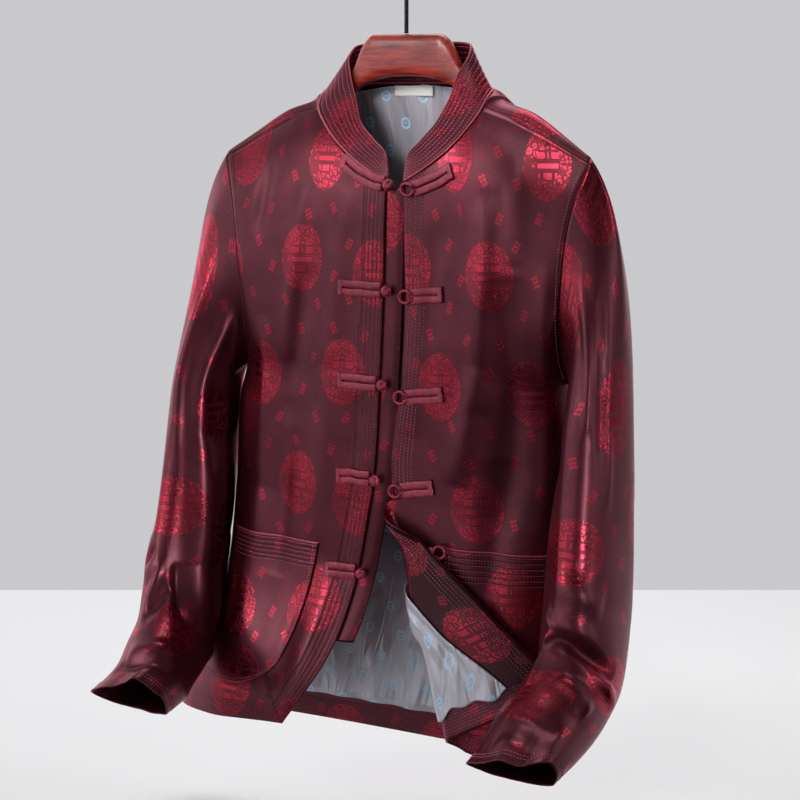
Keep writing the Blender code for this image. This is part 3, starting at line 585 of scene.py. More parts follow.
# %% Stitches
def normals(grid):
    """Unit normals of a grid, from the cross product of its two directions."""
    n = np.cross(np.gradient(grid, axis=0), np.gradient(grid, axis=1))
    return n / np.maximum(np.linalg.norm(n, axis=-1, keepdims=True), 1e-12)

def level_line(grid, distance, value, axis, keep=None):
    """Points and normals where distance reaches value along each grid line of that axis."""
    g, d = (grid, distance) if axis == 1 else (grid.swapaxes(0, 1), distance.T)
    n = normals(grid) if axis == 1 else normals(grid).swapaxes(0, 1)
    hit = (d[:, :-1] - value) * (d[:, 1:] - value) <= 0
    ok = hit.any(1)
    j = hit.argmax(1)
    i = np.arange(len(g))
    a, b = d[i, j], d[i, j + 1]
    f = np.clip((value - a) / np.where(np.abs(b - a) < 1e-12, 1, b - a), 0, 1)[:, None]
    p = g[i, j] * (1 - f) + g[i, j + 1] * f
    if keep is not None:
        kk = keep if axis == 1 else keep.T
        ok = ok & (kk[i, j] > 0)
    return p[ok], n[i, j][ok]

def row_lines(grid, distance, first, pitch, count, axis, beyond=None):
    """The line of every row. With beyond, a row keeps only the points where beyond is past its own value."""
    values = [first + pitch * k for k in range(count)]
    return [level_line(grid, distance, v, axis, None if beyond is None else beyond > v) for v in values]

def other_side(lines):
    """The same lines for the cloth's other face."""
    return [(p, -q) for p, q in lines]

def sew(lines, pitch=.0034, length=.0024, width=.00075, height=.00045, lift=.0006):
    """One small bar with bevelled ends for each stitch: eight corners and twelve triangles."""
    verts = []
    for p, n in lines:
        if len(p) < 3:
            continue
        d = np.concatenate([[0], np.cumsum(np.linalg.norm(np.diff(p, axis=0), axis=1))])
        q = np.arange(pitch / 2, d[-1], pitch)
        if not len(q):
            continue
        at = lambda s, k: np.stack([np.interp(s, d, k[:, i]) for i in range(3)], -1)
        a, b, nn = at(q - length / 2, p), at(q + length / 2, p), at(q, n)
        t = b - a
        size = np.linalg.norm(t, axis=1, keepdims=True)
        good = size[:, 0] > length * .5
        a, b, nn, t = a[good], b[good], nn[good], (t / np.maximum(size, 1e-9))[good]
        side = np.cross(nn, t)
        foot, top = nn * (lift - .0006), nn * (lift + height)
        w = side * width / 2
        verts.append(np.stack([a - w + foot, a + w + foot, b + w + foot, b - w + foot,
                               a + t * .0004 - w * .6 + top, a + t * .0004 + w * .6 + top,
                               b - t * .0004 + w * .6 + top, b - t * .0004 - w * .6 + top], 1))
    v = np.concatenate(verts)
    box = np.array([(0, 3, 2, 1), (4, 5, 6, 7), (0, 1, 5, 4), (1, 2, 6, 5), (2, 3, 7, 6), (3, 0, 4, 7)])
    return v.reshape(-1, 3), (np.arange(len(v))[:, None, None] * 8 + box[None]).reshape(-1, 4)

def stitches(name, lines, finish, **sizes):
    """All stitches of a piece as one mesh."""
    v, f = sew(lines, **sizes)
    ob = new_mesh(name, v, f, {}, finish)
    MADE[name] = ob, None, None
    print(f"{name}: {len(f) // 6} stitches")

# %% [markdown]
# Materials are node trees. A small helper adds one Math node per call, so that a pattern reads as
# arithmetic.

# %% Node helpers
def maths(tree):
    """Returns a function that adds a Math node: the operation, then numbers or sockets."""
    def add(operation, *values):
        node = tree.nodes.new("ShaderNodeMath")
        node.operation = operation
        for k, value in enumerate(values):
            if hasattr(value, "is_output"):
                tree.links.new(value, node.inputs[k])
            else:
                node.inputs[k].default_value = value
        return node.outputs[0]
    return add

def node(tree, kind, links=(), **values):
    """Adds a node, sets its inputs by name (underscores are spaces) and links sockets into it."""
    n = tree.nodes.new(kind)
    for key, value in values.items():
        n.inputs[key.replace("_", " ")].default_value = value
    for key, socket in links:
        tree.links.new(socket, n.inputs[key])
    return n

def map_xy(tree, name):
    """Both coordinates of a UV map."""
    uv = tree.nodes.new("ShaderNodeUVMap")
    uv.uv_map = name
    xyz = node(tree, "ShaderNodeSeparateXYZ", [(0, uv.outputs[0])])
    return xyz.outputs[0], xyz.outputs[1], uv.outputs[0]

def step(tree, value, low, high):
    """Smooth ramp from 0 at low to 1 at high."""
    r = tree.nodes.new("ShaderNodeMapRange")
    r.interpolation_type = "SMOOTHSTEP"
    tree.links.new(value, r.inputs[0])
    r.inputs[1].default_value, r.inputs[2].default_value = low, high
    return r.outputs[0]

def fall(tree, value, low, high):
    """Smooth ramp from 1 at low to 0 at high."""
    return maths(tree)("SUBTRACT", 1, step(tree, value, low, high))

def hypot(tree, x, y):
    """Square root of x times x plus y times y."""
    m = maths(tree)
    return m("SQRT", m("ADD", m("MULTIPLY", x, x), m("MULTIPLY", y, y)))

def from_whole(tree, value):
    """Distance of a value from the nearest whole number."""
    m = maths(tree)
    return m("ABSOLUTE", m("SUBTRACT", m("FRACT", m("ADD", value, .5)), .5))

def noise(tree, at, scale, detail, **values):
    """Value of a noise at a place; at is a socket."""
    return node(tree, "ShaderNodeTexNoise", [("Vector", at)], Scale=scale, Detail=detail, **values).outputs[0]

def stretched(tree, at, scale):
    """A place scaled by its own factor along each axis."""
    mapping = node(tree, "ShaderNodeMapping", [("Vector", at)], Scale=scale)
    return mapping.outputs[0]

def bumped(tree, shader, height, strength):
    """Links a height in metres to a shader as a bump."""
    bump = node(tree, "ShaderNodeBump", [("Height", height)], Distance=1.0, Strength=strength)
    tree.links.new(bump.outputs[0], shader.inputs["Normal"])

def blend(tree, factor, a, b, how="MIX"):
    """Mix of two colours, or a times b where how is MULTIPLY."""
    m = tree.nodes.new("ShaderNodeMix")
    m.data_type, m.blend_type = "RGBA", how
    tree.links.new(factor, m.inputs[0])
    for k, value in ((6, a), (7, b)):
        if hasattr(value, "is_output"):
            tree.links.new(value, m.inputs[k])
        else:
            m.inputs[k].default_value = (*value, 1)
    return m.outputs[2]

def finish_of(name, **values):
    """A material with its Principled shader; returns material, tree and shader."""
    m = bpy.data.materials.new(name)
    m.use_nodes = True
    b = m.node_tree.nodes["Principled BSDF"]
    for key, value in values.items():
        b.inputs[key.replace("_", " ")].default_value = value
    return m, m.node_tree, b

# %% [markdown]
# The jacquard: a dark satin ground, and crimson figures woven the other way, so they catch the light
# when the ground doesn't. A roundel is an upright oval with a scalloped rim, curled clouds round it, and
# a plain fret of straight lines in its middle, the same on both sides of its centre line.

# %% Jacquard
FRET = ((.30, .22, .20, .12), (.0, -.06, .46, .10), (.0, -.34, .20, .12), (.34, -.34, .08, .12),
        (.0, .44, .10, .07), (.0, .22, .06, .12))        # x, y, half width, half height of each frame

def outline_of_boxes(tree, x, y, frames):
    """Distance to the nearest of several rectangular outlines, mirrored in x."""
    m = maths(tree)
    ax, best = m("ABSOLUTE", x), None
    for cx, cy, hx, hy in frames:
        dx = m("SUBTRACT", m("ABSOLUTE", m("SUBTRACT", ax, cx)), hx)
        dy = m("SUBTRACT", m("ABSOLUTE", m("SUBTRACT", y, cy)), hy)
        d = m("ABSOLUTE", m("MAXIMUM", dx, dy))
        best = d if best is None else m("MINIMUM", best, d)
    return best

CLOUDS, CURL = 112, .0036                       # cells to a metre, and the pitch of a curl in metres
SHORT, LONG, BARS = .0042, .0066, .0046         # half sides of a small square, and the pitch of its bars

def woven_figures(tree):
    """1 on the crimson figures, 0 on the ground."""
    m = maths(tree)
    rx, ry, at = map_xy(tree, "roundel")
    x, y = m("DIVIDE", rx, ROUNDEL[0]), m("DIVIDE", ry, ROUNDEL[1])
    r = hypot(tree, x, y)
    turn = m("ARCTAN2", y, x)
    scallop = m("MULTIPLY", m("ABSOLUTE", m("SINE", m("MULTIPLY", turn, 9))), .035)
    inside = fall(tree, m("SUBTRACT", r, scallop), .955, .975)
    cells = node(tree, "ShaderNodeTexVoronoi", [("Vector", at)], Scale=CLOUDS, Randomness=.8)
    border = node(tree, "ShaderNodeTexVoronoi", [("Vector", at)], Scale=CLOUDS, Randomness=.8)
    border.feature = "DISTANCE_TO_EDGE"
    away = node(tree, "ShaderNodeVectorMath", [(0, at), (1, cells.outputs["Position"])])
    away.operation = "SUBTRACT"
    ax, ay, _ = node(tree, "ShaderNodeSeparateXYZ", [(0, away.outputs[0])]).outputs
    curl = m("SINE", m("ADD", m("MULTIPLY", hypot(tree, ax, ay), 2 * np.pi / CURL), m("ARCTAN2", ay, ax)))
    clouds = m("MAXIMUM", step(tree, curl, .45, .80), fall(tree, border.outputs["Distance"], .04, .10))
    clouds = m("MULTIPLY", clouds, step(tree, r, .50, .54))
    fret = fall(tree, outline_of_boxes(tree, x, y, FRET), .016, .034)
    fret = m("MULTIPLY", fret, fall(tree, r, .52, .54))
    lines = m("MAXIMUM", m("MULTIPLY", clouds, .68), m("MULTIPLY", fret, .74))
    roundel = m("MULTIPLY", inside, m("SUBTRACT", 1, lines))
    sx, sy, _ = map_xy(tree, "square")
    box = m("MAXIMUM", m("SUBTRACT", m("ABSOLUTE", sx), SHORT), m("SUBTRACT", m("ABSOLUTE", sy), LONG))
    small = fall(tree, box, -.0003, .0003)
    gap = step(tree, from_whole(tree, m("DIVIDE", sy, BARS)), .28, .36)
    spine = fall(tree, m("ABSOLUTE", m("SUBTRACT", m("ABSOLUTE", sx), .0022)), .0004, .0008)
    small = m("MULTIPLY", small, m("MAXIMUM", m("SUBTRACT", 1, gap), spine))
    return m("MAXIMUM", roundel, m("MULTIPLY", m("MULTIPLY", small, .68), step(tree, r, 1.02, 1.06)))

# %% [markdown]
# The cloth's colour is the ground or the figure, a little darker in the grain of the threads, with painted
# shade darkening the grooves where rows of stitches pull it down. The ridges between the rows are in the bump
# too.

# %% Jacquard cloth
def jacquard(name, ground, figure, ground_rough=.40, figure_rough=.25):
    """Ground and figures, a fine grain of threads, painted shade in the grooves along the stitch rows, and
    the quilted ridges between them.
    """
    mat, tree, shader = finish_of(name, Specular_IOR_Level=.5, Specular_Tint=(1, .50, .60, 1),
                                  Coat_Weight=.20, Coat_Roughness=.30)
    m = maths(tree)
    _, _, flat = map_xy(tree, "cloth")
    weave, broad = noise(tree, flat, 640, 1), noise(tree, flat, 26, 3)
    mask = woven_figures(tree)
    grain = m("ADD", m("MULTIPLY", weave, .5), m("MULTIPLY", broad, .35))
    base = blend(tree, mask, ground, figure)
    tint = blend(tree, fall(tree, grain, .25, .62), base, (.40, .38, .40), "MULTIPLY")
    ridge = m("MINIMUM", *(step(tree, from_whole(tree, c), 0, .30) for c in map_xy(tree, "rows")[:2]))
    # painted shade: the colour is darkened along every stitch row, where the grooves fall into shade
    painted_groove_shade = blend(tree, m("SUBTRACT", 1, ridge), tint, (.60, .55, .57), "MULTIPLY")
    tree.links.new(painted_groove_shade, shader.inputs["Base Color"])
    rough = m("ADD", ground_rough, m("MULTIPLY", mask, figure_rough - ground_rough))
    rough = m("ADD", rough, m("MULTIPLY", m("SUBTRACT", weave, .5), .12))
    tree.links.new(rough, shader.inputs["Roughness"])
    tree.links.new(m("ADD", .70, m("MULTIPLY", mask, .28)), shader.inputs["Metallic"])
    height = m("ADD", m("MULTIPLY", ridge, .0005), m("MULTIPLY", mask, .0002))
    bumped(tree, shader, m("ADD", height, m("MULTIPLY", weave, .00006)), .8)
    return mat

JACQUARD = jacquard("burgundy_satin_jacquard", (.138, .0200, .0335), (.46, .024, .052))
# A darker copy of the same jacquard for the facing: painted shade for the shadow inside the turned-back
# corner.
SHADED_FACING_JACQUARD = jacquard("burgundy_satin_painted_shade", (.036, .0056, .0092), (.34, .020, .042))

# %% [markdown]
# The lining is smooth grey satin with small blue rings that have ten short rays and two bars inside. They
# sit in a plain staggered layout, so the "square" map isn't needed: the rings repeat by arithmetic.

# %% Lining cloth
RING_STEP, RING = (.045, .0315), .0046          # spacing of the rings, and the radius of one

def lining_finish(name):
    """Grey satin, the printed rings, and long soft creases as a bump."""
    mat, tree, shader = finish_of(name, Roughness=.36, Specular_IOR_Level=.5)
    m = maths(tree)
    u, v, flat = map_xy(tree, "cloth")
    row = m("DIVIDE", v, RING_STEP[1])
    odd = m("MULTIPLY", m("MODULO", m("ABSOLUTE", m("FLOOR", row)), 2), .5)
    column = m("ADD", m("DIVIDE", u, RING_STEP[0]), odd)
    x = m("MULTIPLY", m("SUBTRACT", m("FRACT", column), .5), RING_STEP[0])
    y = m("MULTIPLY", m("SUBTRACT", m("FRACT", row), .5), RING_STEP[1] * .86)
    r = hypot(tree, x, y)
    ring = fall(tree, m("ABSOLUTE", m("SUBTRACT", r, RING)), .0007, .0011)
    rays = step(tree, m("COSINE", m("MULTIPLY", m("ARCTAN2", y, x), 10)), .2, .6)
    rim = fall(tree, m("ABSOLUTE", m("SUBTRACT", r, RING * 1.20)), RING * .12, RING * .18)
    bars = step(tree, m("COSINE", m("MULTIPLY", y, 2300)), .0, .5)
    middle = fall(tree, m("MAXIMUM", m("ABSOLUTE", x), m("ABSOLUTE", y)), .0020, .0023)
    mark = m("MAXIMUM", m("MAXIMUM", ring, m("MULTIPLY", rays, rim)), m("MULTIPLY", bars, middle))
    grain = noise(tree, flat, 900, 1)
    base = blend(tree, grain, (.44, .42, .48), (.56, .54, .605))
    tree.links.new(blend(tree, mark, base, (.44, .76, 1.0)), shader.inputs["Base Color"])
    tree.links.new(m("MULTIPLY", m("SUBTRACT", 1, mark), .35), shader.inputs["Metallic"])
    crease = noise(tree, stretched(tree, flat, (1, .24, 1)), 52, 2, Distortion=.6)
    bumped(tree, shader, m("ADD", m("MULTIPLY", crease, .0095), m("MULTIPLY", grain, .00004)), .6)
    return mat

# %% [markdown]
# Thread, cord, label, wood and wire need no figure. Each is two tones of one colour, mixed by a noise
# that is stretched along the grain; the noise is also the bump.

# %% Other finishes
def grained(name, dark, light, scale, rough, stretch=(1, 1, 1), bump=.0002, **values):
    """Two tones mixed by a stretched noise on Object coordinates, which is also the bump."""
    mat, tree, shader = finish_of(name, Roughness=rough, **values)
    place = tree.nodes.new("ShaderNodeTexCoord").outputs["Object"]
    grain = noise(tree, stretched(tree, place, stretch), scale, 5, Roughness=.6)
    tree.links.new(blend(tree, step(tree, grain, .32, .68), dark, light), shader.inputs["Base Color"])
    bumped(tree, shader, maths(tree)("MULTIPLY", grain, bump), .6)
    return mat

LINING = lining_finish("grey_ringed_satin")
THREAD = grained("burgundy_thread", (.42, .085, .14), (.62, .17, .25), 900, .45, Specular_IOR_Level=.5)
SOFT_THREAD = grained("burgundy_thread_tonal", (.20, .030, .052), (.34, .060, .095), 900, .5)
TRIM = grained("burgundy_cord", (.20, .016, .032), (.36, .030, .062), 160, .38, bump=.0006,
               Specular_Tint=(1, .72, .78, 1), Specular_IOR_Level=.6)
LABEL = grained("white_woven_tape", (.80, .80, .77), (.92, .92, .90), 1500, .8)
WOOD = grained("red_brown_wood", (.14, .010, .006), (.42, .036, .022), 24, .32, stretch=(1, 6, 9), bump=.0003,
               Coat_Weight=.22, Coat_Roughness=.12)
METAL = grained("dark_metal", (.015, .015, .017), (.035, .035, .038), 260, .32, bump=.0001, Metallic=1.0)
PIPING = grained("burgundy_piping", (.34, .030, .060), (.46, .060, .10), 600, .34, Specular_IOR_Level=.6)

# %% [markdown]
# The fronts. Columns near the opening keep a fixed distance from it, so that the stitch rows run true;
# the flat map measures from the opening line along the cloth, and down by height.

# %% Front panels
HEM_ROWS = .004, .0034, 7              # first row, pitch and number of rows, metres from the edge

def panel_u(z_rows, side, count_edge=16, count_rest=64, band=.034):
    """u of every column and row: fixed distances inside the band, even steps beyond."""
    width = np.abs(side_x(z_rows, side) - edge_x(z_rows, side))[:, None]
    share = np.clip(np.linspace(0, band, count_edge)[None] / width, 0, 1)
    inner = np.arcsin(share ** (1 / ROUND)) / (np.pi / 2)
    rest = inner[:, -1:] + (1 - inner[:, -1:]) * np.linspace(0, 1, count_rest + 1)[None, 1:]
    return np.concatenate([inner, rest], 1)

def opening_top(side):
    """Height where a front's opening edge meets the neckline."""
    return float(front_top(np.array(edge_x(NECK_Z[-1], side)), side)[1])

def front_grid(side, v_rows):
    """Points of a front, their distance from the opening along the cloth, and the flat map."""
    top = opening_top(side)
    z = top + (front_hem(0., side) - top) * v_rows
    u = panel_u(z, side)
    g = front_point(u, v_rows[:, None] + 0 * u, side)
    run = lengths(g, 1)
    return g, run, np.stack([edge_x(g[..., :1, 2], side) + side * run, g[..., 2]], -1)

def armhole_line(grid):
    """One line of topstitching 5.5 mm inside the sleeve seam."""
    return level_line(grid, from_last(grid, 1), .0055, 1, keep=grid[..., 2] > UNDERARM + .004)

FRONT_ROUNDELS = {
    -1: ((-.2206, -.2187), (-.0875, -.2202), (-.1158, -.3317), (-.006, -.345), (-.1754, -.4665),
         (-.0489, -.4562), (-.1129, -.5875), (-.030, -.603), (-.0771, -.7165), (-.185, -.829),
         (-.088, -.862)),
    1: ((.1034, -.2183), (.228, -.2244), (.157, -.3413), (.036, -.338), (.0812, -.4637), (.199, -.468),
        (.1234, -.5966), (.060, -.706), (.170, -.74))}

# %% [markdown]
# On the knot side the placket's five rows turn the corner into the hem's seven. A point counts for the
# edge that it is nearer to, so the rows meet in a mitre.

# %% Front with the knots
PLACKET_ROWS = .0036, .0056, 5
V_KNOT = np.concatenate([np.linspace(0, .955, 150), .955 + .045 * np.linspace(0, 1, 25)[1:]])
left_grid, left_run, left_flat = front_grid(-1, V_KNOT)
left_up = from_last(left_grid, 0)
placket, hem = row_count(left_run, *PLACKET_ROWS), row_count(left_up, *HEM_ROWS)
mitre = left_run < left_up                       # nearer to the opening than to the hem
left_rows = counts(np.where(mitre, placket, .5), np.where(~mitre | (placket >= 5.5), hem, .5))
cloth("front_knot_side", left_grid, left_flat, JACQUARD, (-.115, -.345), FRONT_ROUNDELS[-1], rows=left_rows)
lines = row_lines(left_grid, left_run, *PLACKET_ROWS, 1, beyond=left_up)
lines += row_lines(left_grid, left_up, *HEM_ROWS, 0, beyond=left_run)
lines.append(armhole_line(left_grid))
stitches("front_knot_side_stitches", other_side(lines), SOFT_THREAD)

# %% [markdown]
# The loop side has its lower corner turned back: one more grid of points continues the panel round the
# fold line. The first column of the new grid is the opening column of the panel.

# %% Front with the turned-back corner
LOOP_PLACKET_ROWS = .0060, .0050, 5
ABOVE_FOLD = 100                                 # rows of points down to the top of the fold
top_right = opening_top(1)
V_FOLD = (FOLD_TOP - top_right) / (front_hem(0., 1) - top_right)
T_ROWS = np.linspace(0, 1, 71) ** 1.15
V_LOOP = np.concatenate([np.linspace(0, V_FOLD, ABOVE_FOLD), V_FOLD + (1 - V_FOLD) * T_ROWS[1:]])
right_grid, right_run, right_flat = front_grid(1, V_LOOP)
right_up = from_last(right_grid, 0)
above = (np.arange(len(V_LOOP)) < ABOVE_FOLD)[:, None]
placket = np.where(above, row_count(right_run, *LOOP_PLACKET_ROWS), 5.5)
right_rows = counts(placket, row_count(right_up, *HEM_ROWS))

A_STEPS = np.concatenate([np.linspace(0, 1, 15)[1:], 1 + np.linspace(0, 1, 43)[1:]])
turned = flap_point(T_ROWS[1:, None], A_STEPS[None])
columns, flap_rows_count, flap_columns = right_grid.shape[1], len(T_ROWS), len(A_STEPS)
index = np.full((flap_rows_count, flap_columns + 1), (ABOVE_FOLD - 1) * columns)
index[1:, 0] = (ABOVE_FOLD + np.arange(flap_rows_count - 1)) * columns
index[1:, 1:] = len(V_LOOP) * columns + np.arange(turned[..., 0].size).reshape(-1, flap_columns)
flap = np.concatenate([right_grid[ABOVE_FOLD:, :1], turned], 1)
flap_up = from_last(flap, 0)
flap_flat = np.full((flap_rows_count, flap_columns + 1, 2), right_flat[ABOVE_FOLD - 1, 0])
flap_flat[1:, 0] = right_flat[ABOVE_FOLD:, 0]
flap_flat[1:, 1:, 0] = right_flat[ABOVE_FOLD:, :1, 0] - lengths(flap, 1)[:, 1:]
flap_flat[1:, 1:, 1] = turned[..., 2]
flap_counts = np.full(flap_flat.shape, .5)
flap_counts[1:, :, 1] = row_count(flap_up, *HEM_ROWS)

def square_corners(k):
    """The four corner values of every square below the first row of the turned-back grid."""
    return np.stack([k[1:-1, 1:], k[1:-1, :-1], k[2:, :-1], k[2:, 1:]], 2).reshape((-1, 4) + k.shape[2:])

turned_corner = turned.reshape(-1, 3), *(square_corners(k) for k in (index, flap_flat, flap_counts))
cloth("front_loop_side", right_grid, right_flat, JACQUARD, (.12, -.345), FRONT_ROUNDELS[1], rows=right_rows,
      extra=turned_corner)
lines = row_lines(right_grid[:ABOVE_FOLD], right_run[:ABOVE_FOLD], *LOOP_PLACKET_ROWS, 1)
lines += row_lines(right_grid, right_up, *HEM_ROWS, 0) + [armhole_line(right_grid)]
flap_lines = row_lines(flap, flap_up, *HEM_ROWS, 0)
stitches("front_loop_side_stitches", lines + flap_lines + other_side(flap_lines), THREAD)

# %% [markdown]
# The back goes over the shoulder ridge, where two rows of topstitching follow the seam. Its pattern hangs
# plumb: below the ridge the flat map follows the height, and above it the way along the cloth.

# %% Back panel
SHOULDER_ROWS, RIDGE = (.0022, .0050, 2), .030          # the ridge lies this far down from the seam
ub = np.linspace(-1, 1, 121)
vb = np.concatenate([np.linspace(0, .14, 26), np.linspace(.14, .965, 100)[1:], np.linspace(.965, 1, 22)[1:]])
back = both_sides(back_point, ub, vb[:, None])
run, down = lengths(back, 1), lengths(back, 0)
ridge_row = (down > RIDGE).argmax(0)[None]
down_there, height_there = (np.take_along_axis(k, ridge_row, 0) for k in (down, back[..., 2]))
plumb = np.where(down < down_there, height_there + down_there - down, back[..., 2])
back_flat = np.stack([run - run[:, 60:61], plumb], -1)
back_up = from_last(back, 0)
shoulder = (np.abs(ub) > .52)[None] & (down < .02)
back_rows = counts(np.where(shoulder, row_count(down, *SHOULDER_ROWS), .5), row_count(back_up, *HEM_ROWS))
cloth("back_panel", back, back_flat, JACQUARD, (.0, -.30), ((.0927, -.160),), rows=back_rows)
lines = row_lines(back, back_up, *HEM_ROWS, 0)
for cut in (slice(0, 30), slice(91, 121)):
    lines += row_lines(back[:30, cut], down[:30, cut], *SHOULDER_ROWS, 0)
stitches("back_panel_stitches", lines, SOFT_THREAD)
stitches("back_panel_stitches_outside", other_side(lines), SOFT_THREAD)

# %% [markdown]
# Sleeves hang from the armhole. Their creases are drawn by the arm that isn't there: fans at the elbow
# and short ripples above the cuff.

# %% Sleeve creases
SLEEVE_FOLDS = {          # w and angle in degrees of the two ends, half width and height in metres
    -1: ((.08, 70, .40, 100, .016, .0040), (.02, 124, .60, 150, .020, .0090),
         (.36, 152, .86, 170, .024, .0150), (.30, 40, .55, 60, .018, -.0035),
         (.60, 106, .80, 72, .008, .0045), (.60, 134, .80, 138, .014, -.0065),
         (.69, 120, .84, 72, .011, -.0050), (.885, 150, .925, 70, .014, .0065),
         (.945, 150, .955, 60, .009, -.0050), (.57, 90, .62, 60, .010, -.0050),
         (.755, 213, .70, 165, .006, .0035), (.755, 213, .87, 184, .006, .0035),
         (.755, 213, .79, 160, .006, .0035), (.62, 10, .86, 20, .016, .0050),
         (.50, 300, .80, 330, .018, .0040), (.18, 194, .37, 196, .020, .0080),
         (.41, 198, .58, 200, .012, .0025), (.53, 203, .77, 208, .016, .0078),
         (.74, 200, .92, 190, .020, .0050), (.36, 240, .93, 240, .032, -.0185),
         (.63, 212, .68, 212, .012, -.0034)),
    1: ((.06, 74, .30, 70, .013, .0045), (.12, 45, .34, 40, .014, -.0035), (.28, 30, .42, 28, .010, .0030),
        (.53, 112, .56, 30, .020, .0050), (.57, 130, .635, 108, .007, .0045),
        (.635, 108, .69, 126, .007, .0045), (.68, 124, .83, 122, .007, .0045),
        (.655, 112, .725, 10, .022, -.0120), (.80, 84, .85, 22, .016, .0090),
        (.74, 40, .78, -20, .012, .0045), (.90, 110, .93, 40, .010, -.0045),
        (.955, 110, .985, 60, .010, .0045), (.36, 150, .70, 152, .024, .0090),
        (.40, -50, .80, -80, .018, -.0040), (.60, 170, .92, 150, .014, .0040))}
LENGTH, RADIUS = .70, .085         # of the even tube on which the creases are laid out
ROWS_W = np.linspace(0, CAP, 40), np.linspace(CAP, .97, 100)[1:], np.linspace(.97, 1, 10)[1:]
sleeve_w = np.concatenate(ROWS_W)[:, None]
theta = (np.linspace(0, 2 * np.pi, 121)[:-1] + np.pi)[None]        # the seam lies against the body

def creases(side):
    """Height of the creases: the folds laid out flat, and once more a turn to each side."""
    around = RADIUS * np.pi / 180
    table = [(w0 * LENGTH, t0 * around, w1 * LENGTH, t1 * around, *size)
             for w0, t0, w1, t1, *size in SLEEVE_FOLDS[side]]
    angle = np.mod(theta + np.pi, 2 * np.pi) - np.pi
    turns = 0, 2 * np.pi, -2 * np.pi
    total = sum(folds(sleeve_w * LENGTH, (angle + turn) * RADIUS, table) for turn in turns)
    return total * ease(sleeve_w, .02, .12)

# %% [markdown]
# The forearm and the cuff's edge were pressed by packing. A table moves the forearm to the right, and
# another bends the edge of the cuff up and down as one goes round it.

# %% Sleeves
TO_THE_RIGHT = np.array((.883, .469, 0))          # across the view
FOREARM_W = .60, .75, .85, .93, 1
FOREARM = {               # at FOREARM_W: metres that the forearm lies to the right, and its outer half more
    -1: ((0, .005, .0100, .0105, 0), (0, .001, .002, .004, 0)),
    1: ((0, 0, 0, 0, 0), (0, .007, .008, .005, 0))}
RIM = {                   # the cuff's edge, pressed flat: angle in degrees, mm to the right, mm down
    -1: ((0, -.5, 3), (18, 2, 9), (36, 3.5, 11.5), (54, 2.5, 13.5), (72, 0, 12.5), (90, 0, 9.5),
         (108, 0, 1), (117, 0, -6), (126, 0, -7.5), (144, 0, -5.5), (162, 0, -4.5), (180, 1, -7),
         (198, 1.5, -2), (216, 2, 0), (234, 0, -3.5), (252, -1, -5), (270, 0, -7.5), (288, 0, -7.5),
         (306, 0, -6), (324, 0, -4), (342, 0, -1)),
    1: ((0, 1, -10), (18, 1, -9), (36, 0, -2.5), (54, 0, 5.5), (63, -1, 10), (72, -1, 11.5), (90, 0, 9.5),
        (108, 0, 15), (126, 2, 15.5), (144, 3, 12), (162, 1.5, 8), (180, 0, 1.5), (198, 0, -3.5),
        (216, 0, -7), (234, 0, -8.5), (252, 0, -10), (270, 0, -10), (288, 0, -9), (306, 0, -7.5),
        (324, 1, -5.5), (342, 1.5, -9))}

def sleeve_grid(side):
    """The sleeve with its creases: each moves the cloth along its own normal."""
    g = sleeve_point(sleeve_w, theta, side)
    closed = np.concatenate([g[:, -1:], g, g[:, :1]], 1)
    n = np.cross(np.gradient(g, axis=0), (closed[:, 2:] - closed[:, :-2]) / 2)
    n /= np.maximum(np.linalg.norm(n, axis=-1, keepdims=True), 1e-9)
    centre = g.mean(1, keepdims=True)
    n *= np.sign(((g - centre) * n).sum(-1, keepdims=True).mean())
    g = g + creases(side)[..., None] * n
    whole, outer = (curve(sleeve_w, FOREARM_W, k) for k in FOREARM[side])
    outer = outer * np.cos((theta - .35) / 2) ** 2
    turn, right, down = np.array(RIM[side]).T
    lip = ease(sleeve_w, .86, 1) ** 1.5
    degrees = np.mod(np.degrees(theta), 360)
    right, down = (lip * np.interp(degrees, turn, k, period=360) * .001 for k in (right, down))
    g = g + (whole + outer + right)[..., None] * TO_THE_RIGHT
    g[..., 2] -= down
    return g

def forearm_shape(side):
    """Per square: how much narrower (x) and longer (y) the roundels of the bent forearm are drawn."""
    bent = ease(sleeve_w[:-1, 0], .60, .80) * (side < 0)
    factors = np.stack([1 + .45 * bent, 1 - .18 * bent], -1)
    return np.repeat(factors, theta.size, 0)[:, None]

SLEEVE_ROUNDELS = {
    -1: ((.0437, -.2845), (.118, -.4077), (.0667, -.5277), (-.1195, -.5593), (.0819, -.7085)),
    1: ((.0066, -.2328), (.0813, -.2405), (.0179, -.3810), (.0604, -.5192), (.0054, -.6653), (.0648, -.7193))}
CUFF_ROWS = .0085, .0035, 2
for side, name in ((-1, "sleeve_knot_side"), (1, "sleeve_loop_side")):
    g = sleeve_grid(side)
    closed = np.concatenate([g, g[:, :1]], 1)
    run, down = lengths(closed, 1), lengths(closed, 0)
    girth = .30 - .08 * sleeve_w                  # of the flat map, even round the sleeve
    flat = np.stack([(run / run[:, -1:] - .5) * girth, -down.mean(1, keepdims=True) - .22 + 0 * run], -1)
    up = from_last(closed, 0)
    cloth(name, g, flat, JACQUARD, (.02, -.36), SLEEVE_ROUNDELS[side], rows=counts(row_count(up, *CUFF_ROWS)),
          wrap=True, shape=forearm_shape(side))
    lines = row_lines(closed, up, *CUFF_ROWS, 0)
    lines = [(p, np.where((q * (p - p.mean(0))).sum(1, keepdims=True) < 0, -q, q)) for p, q in lines]
    stitches(name + "_stitches", lines, THREAD)

# %% [markdown]
# The collar is one stiff band with seven rows of stitches along it.

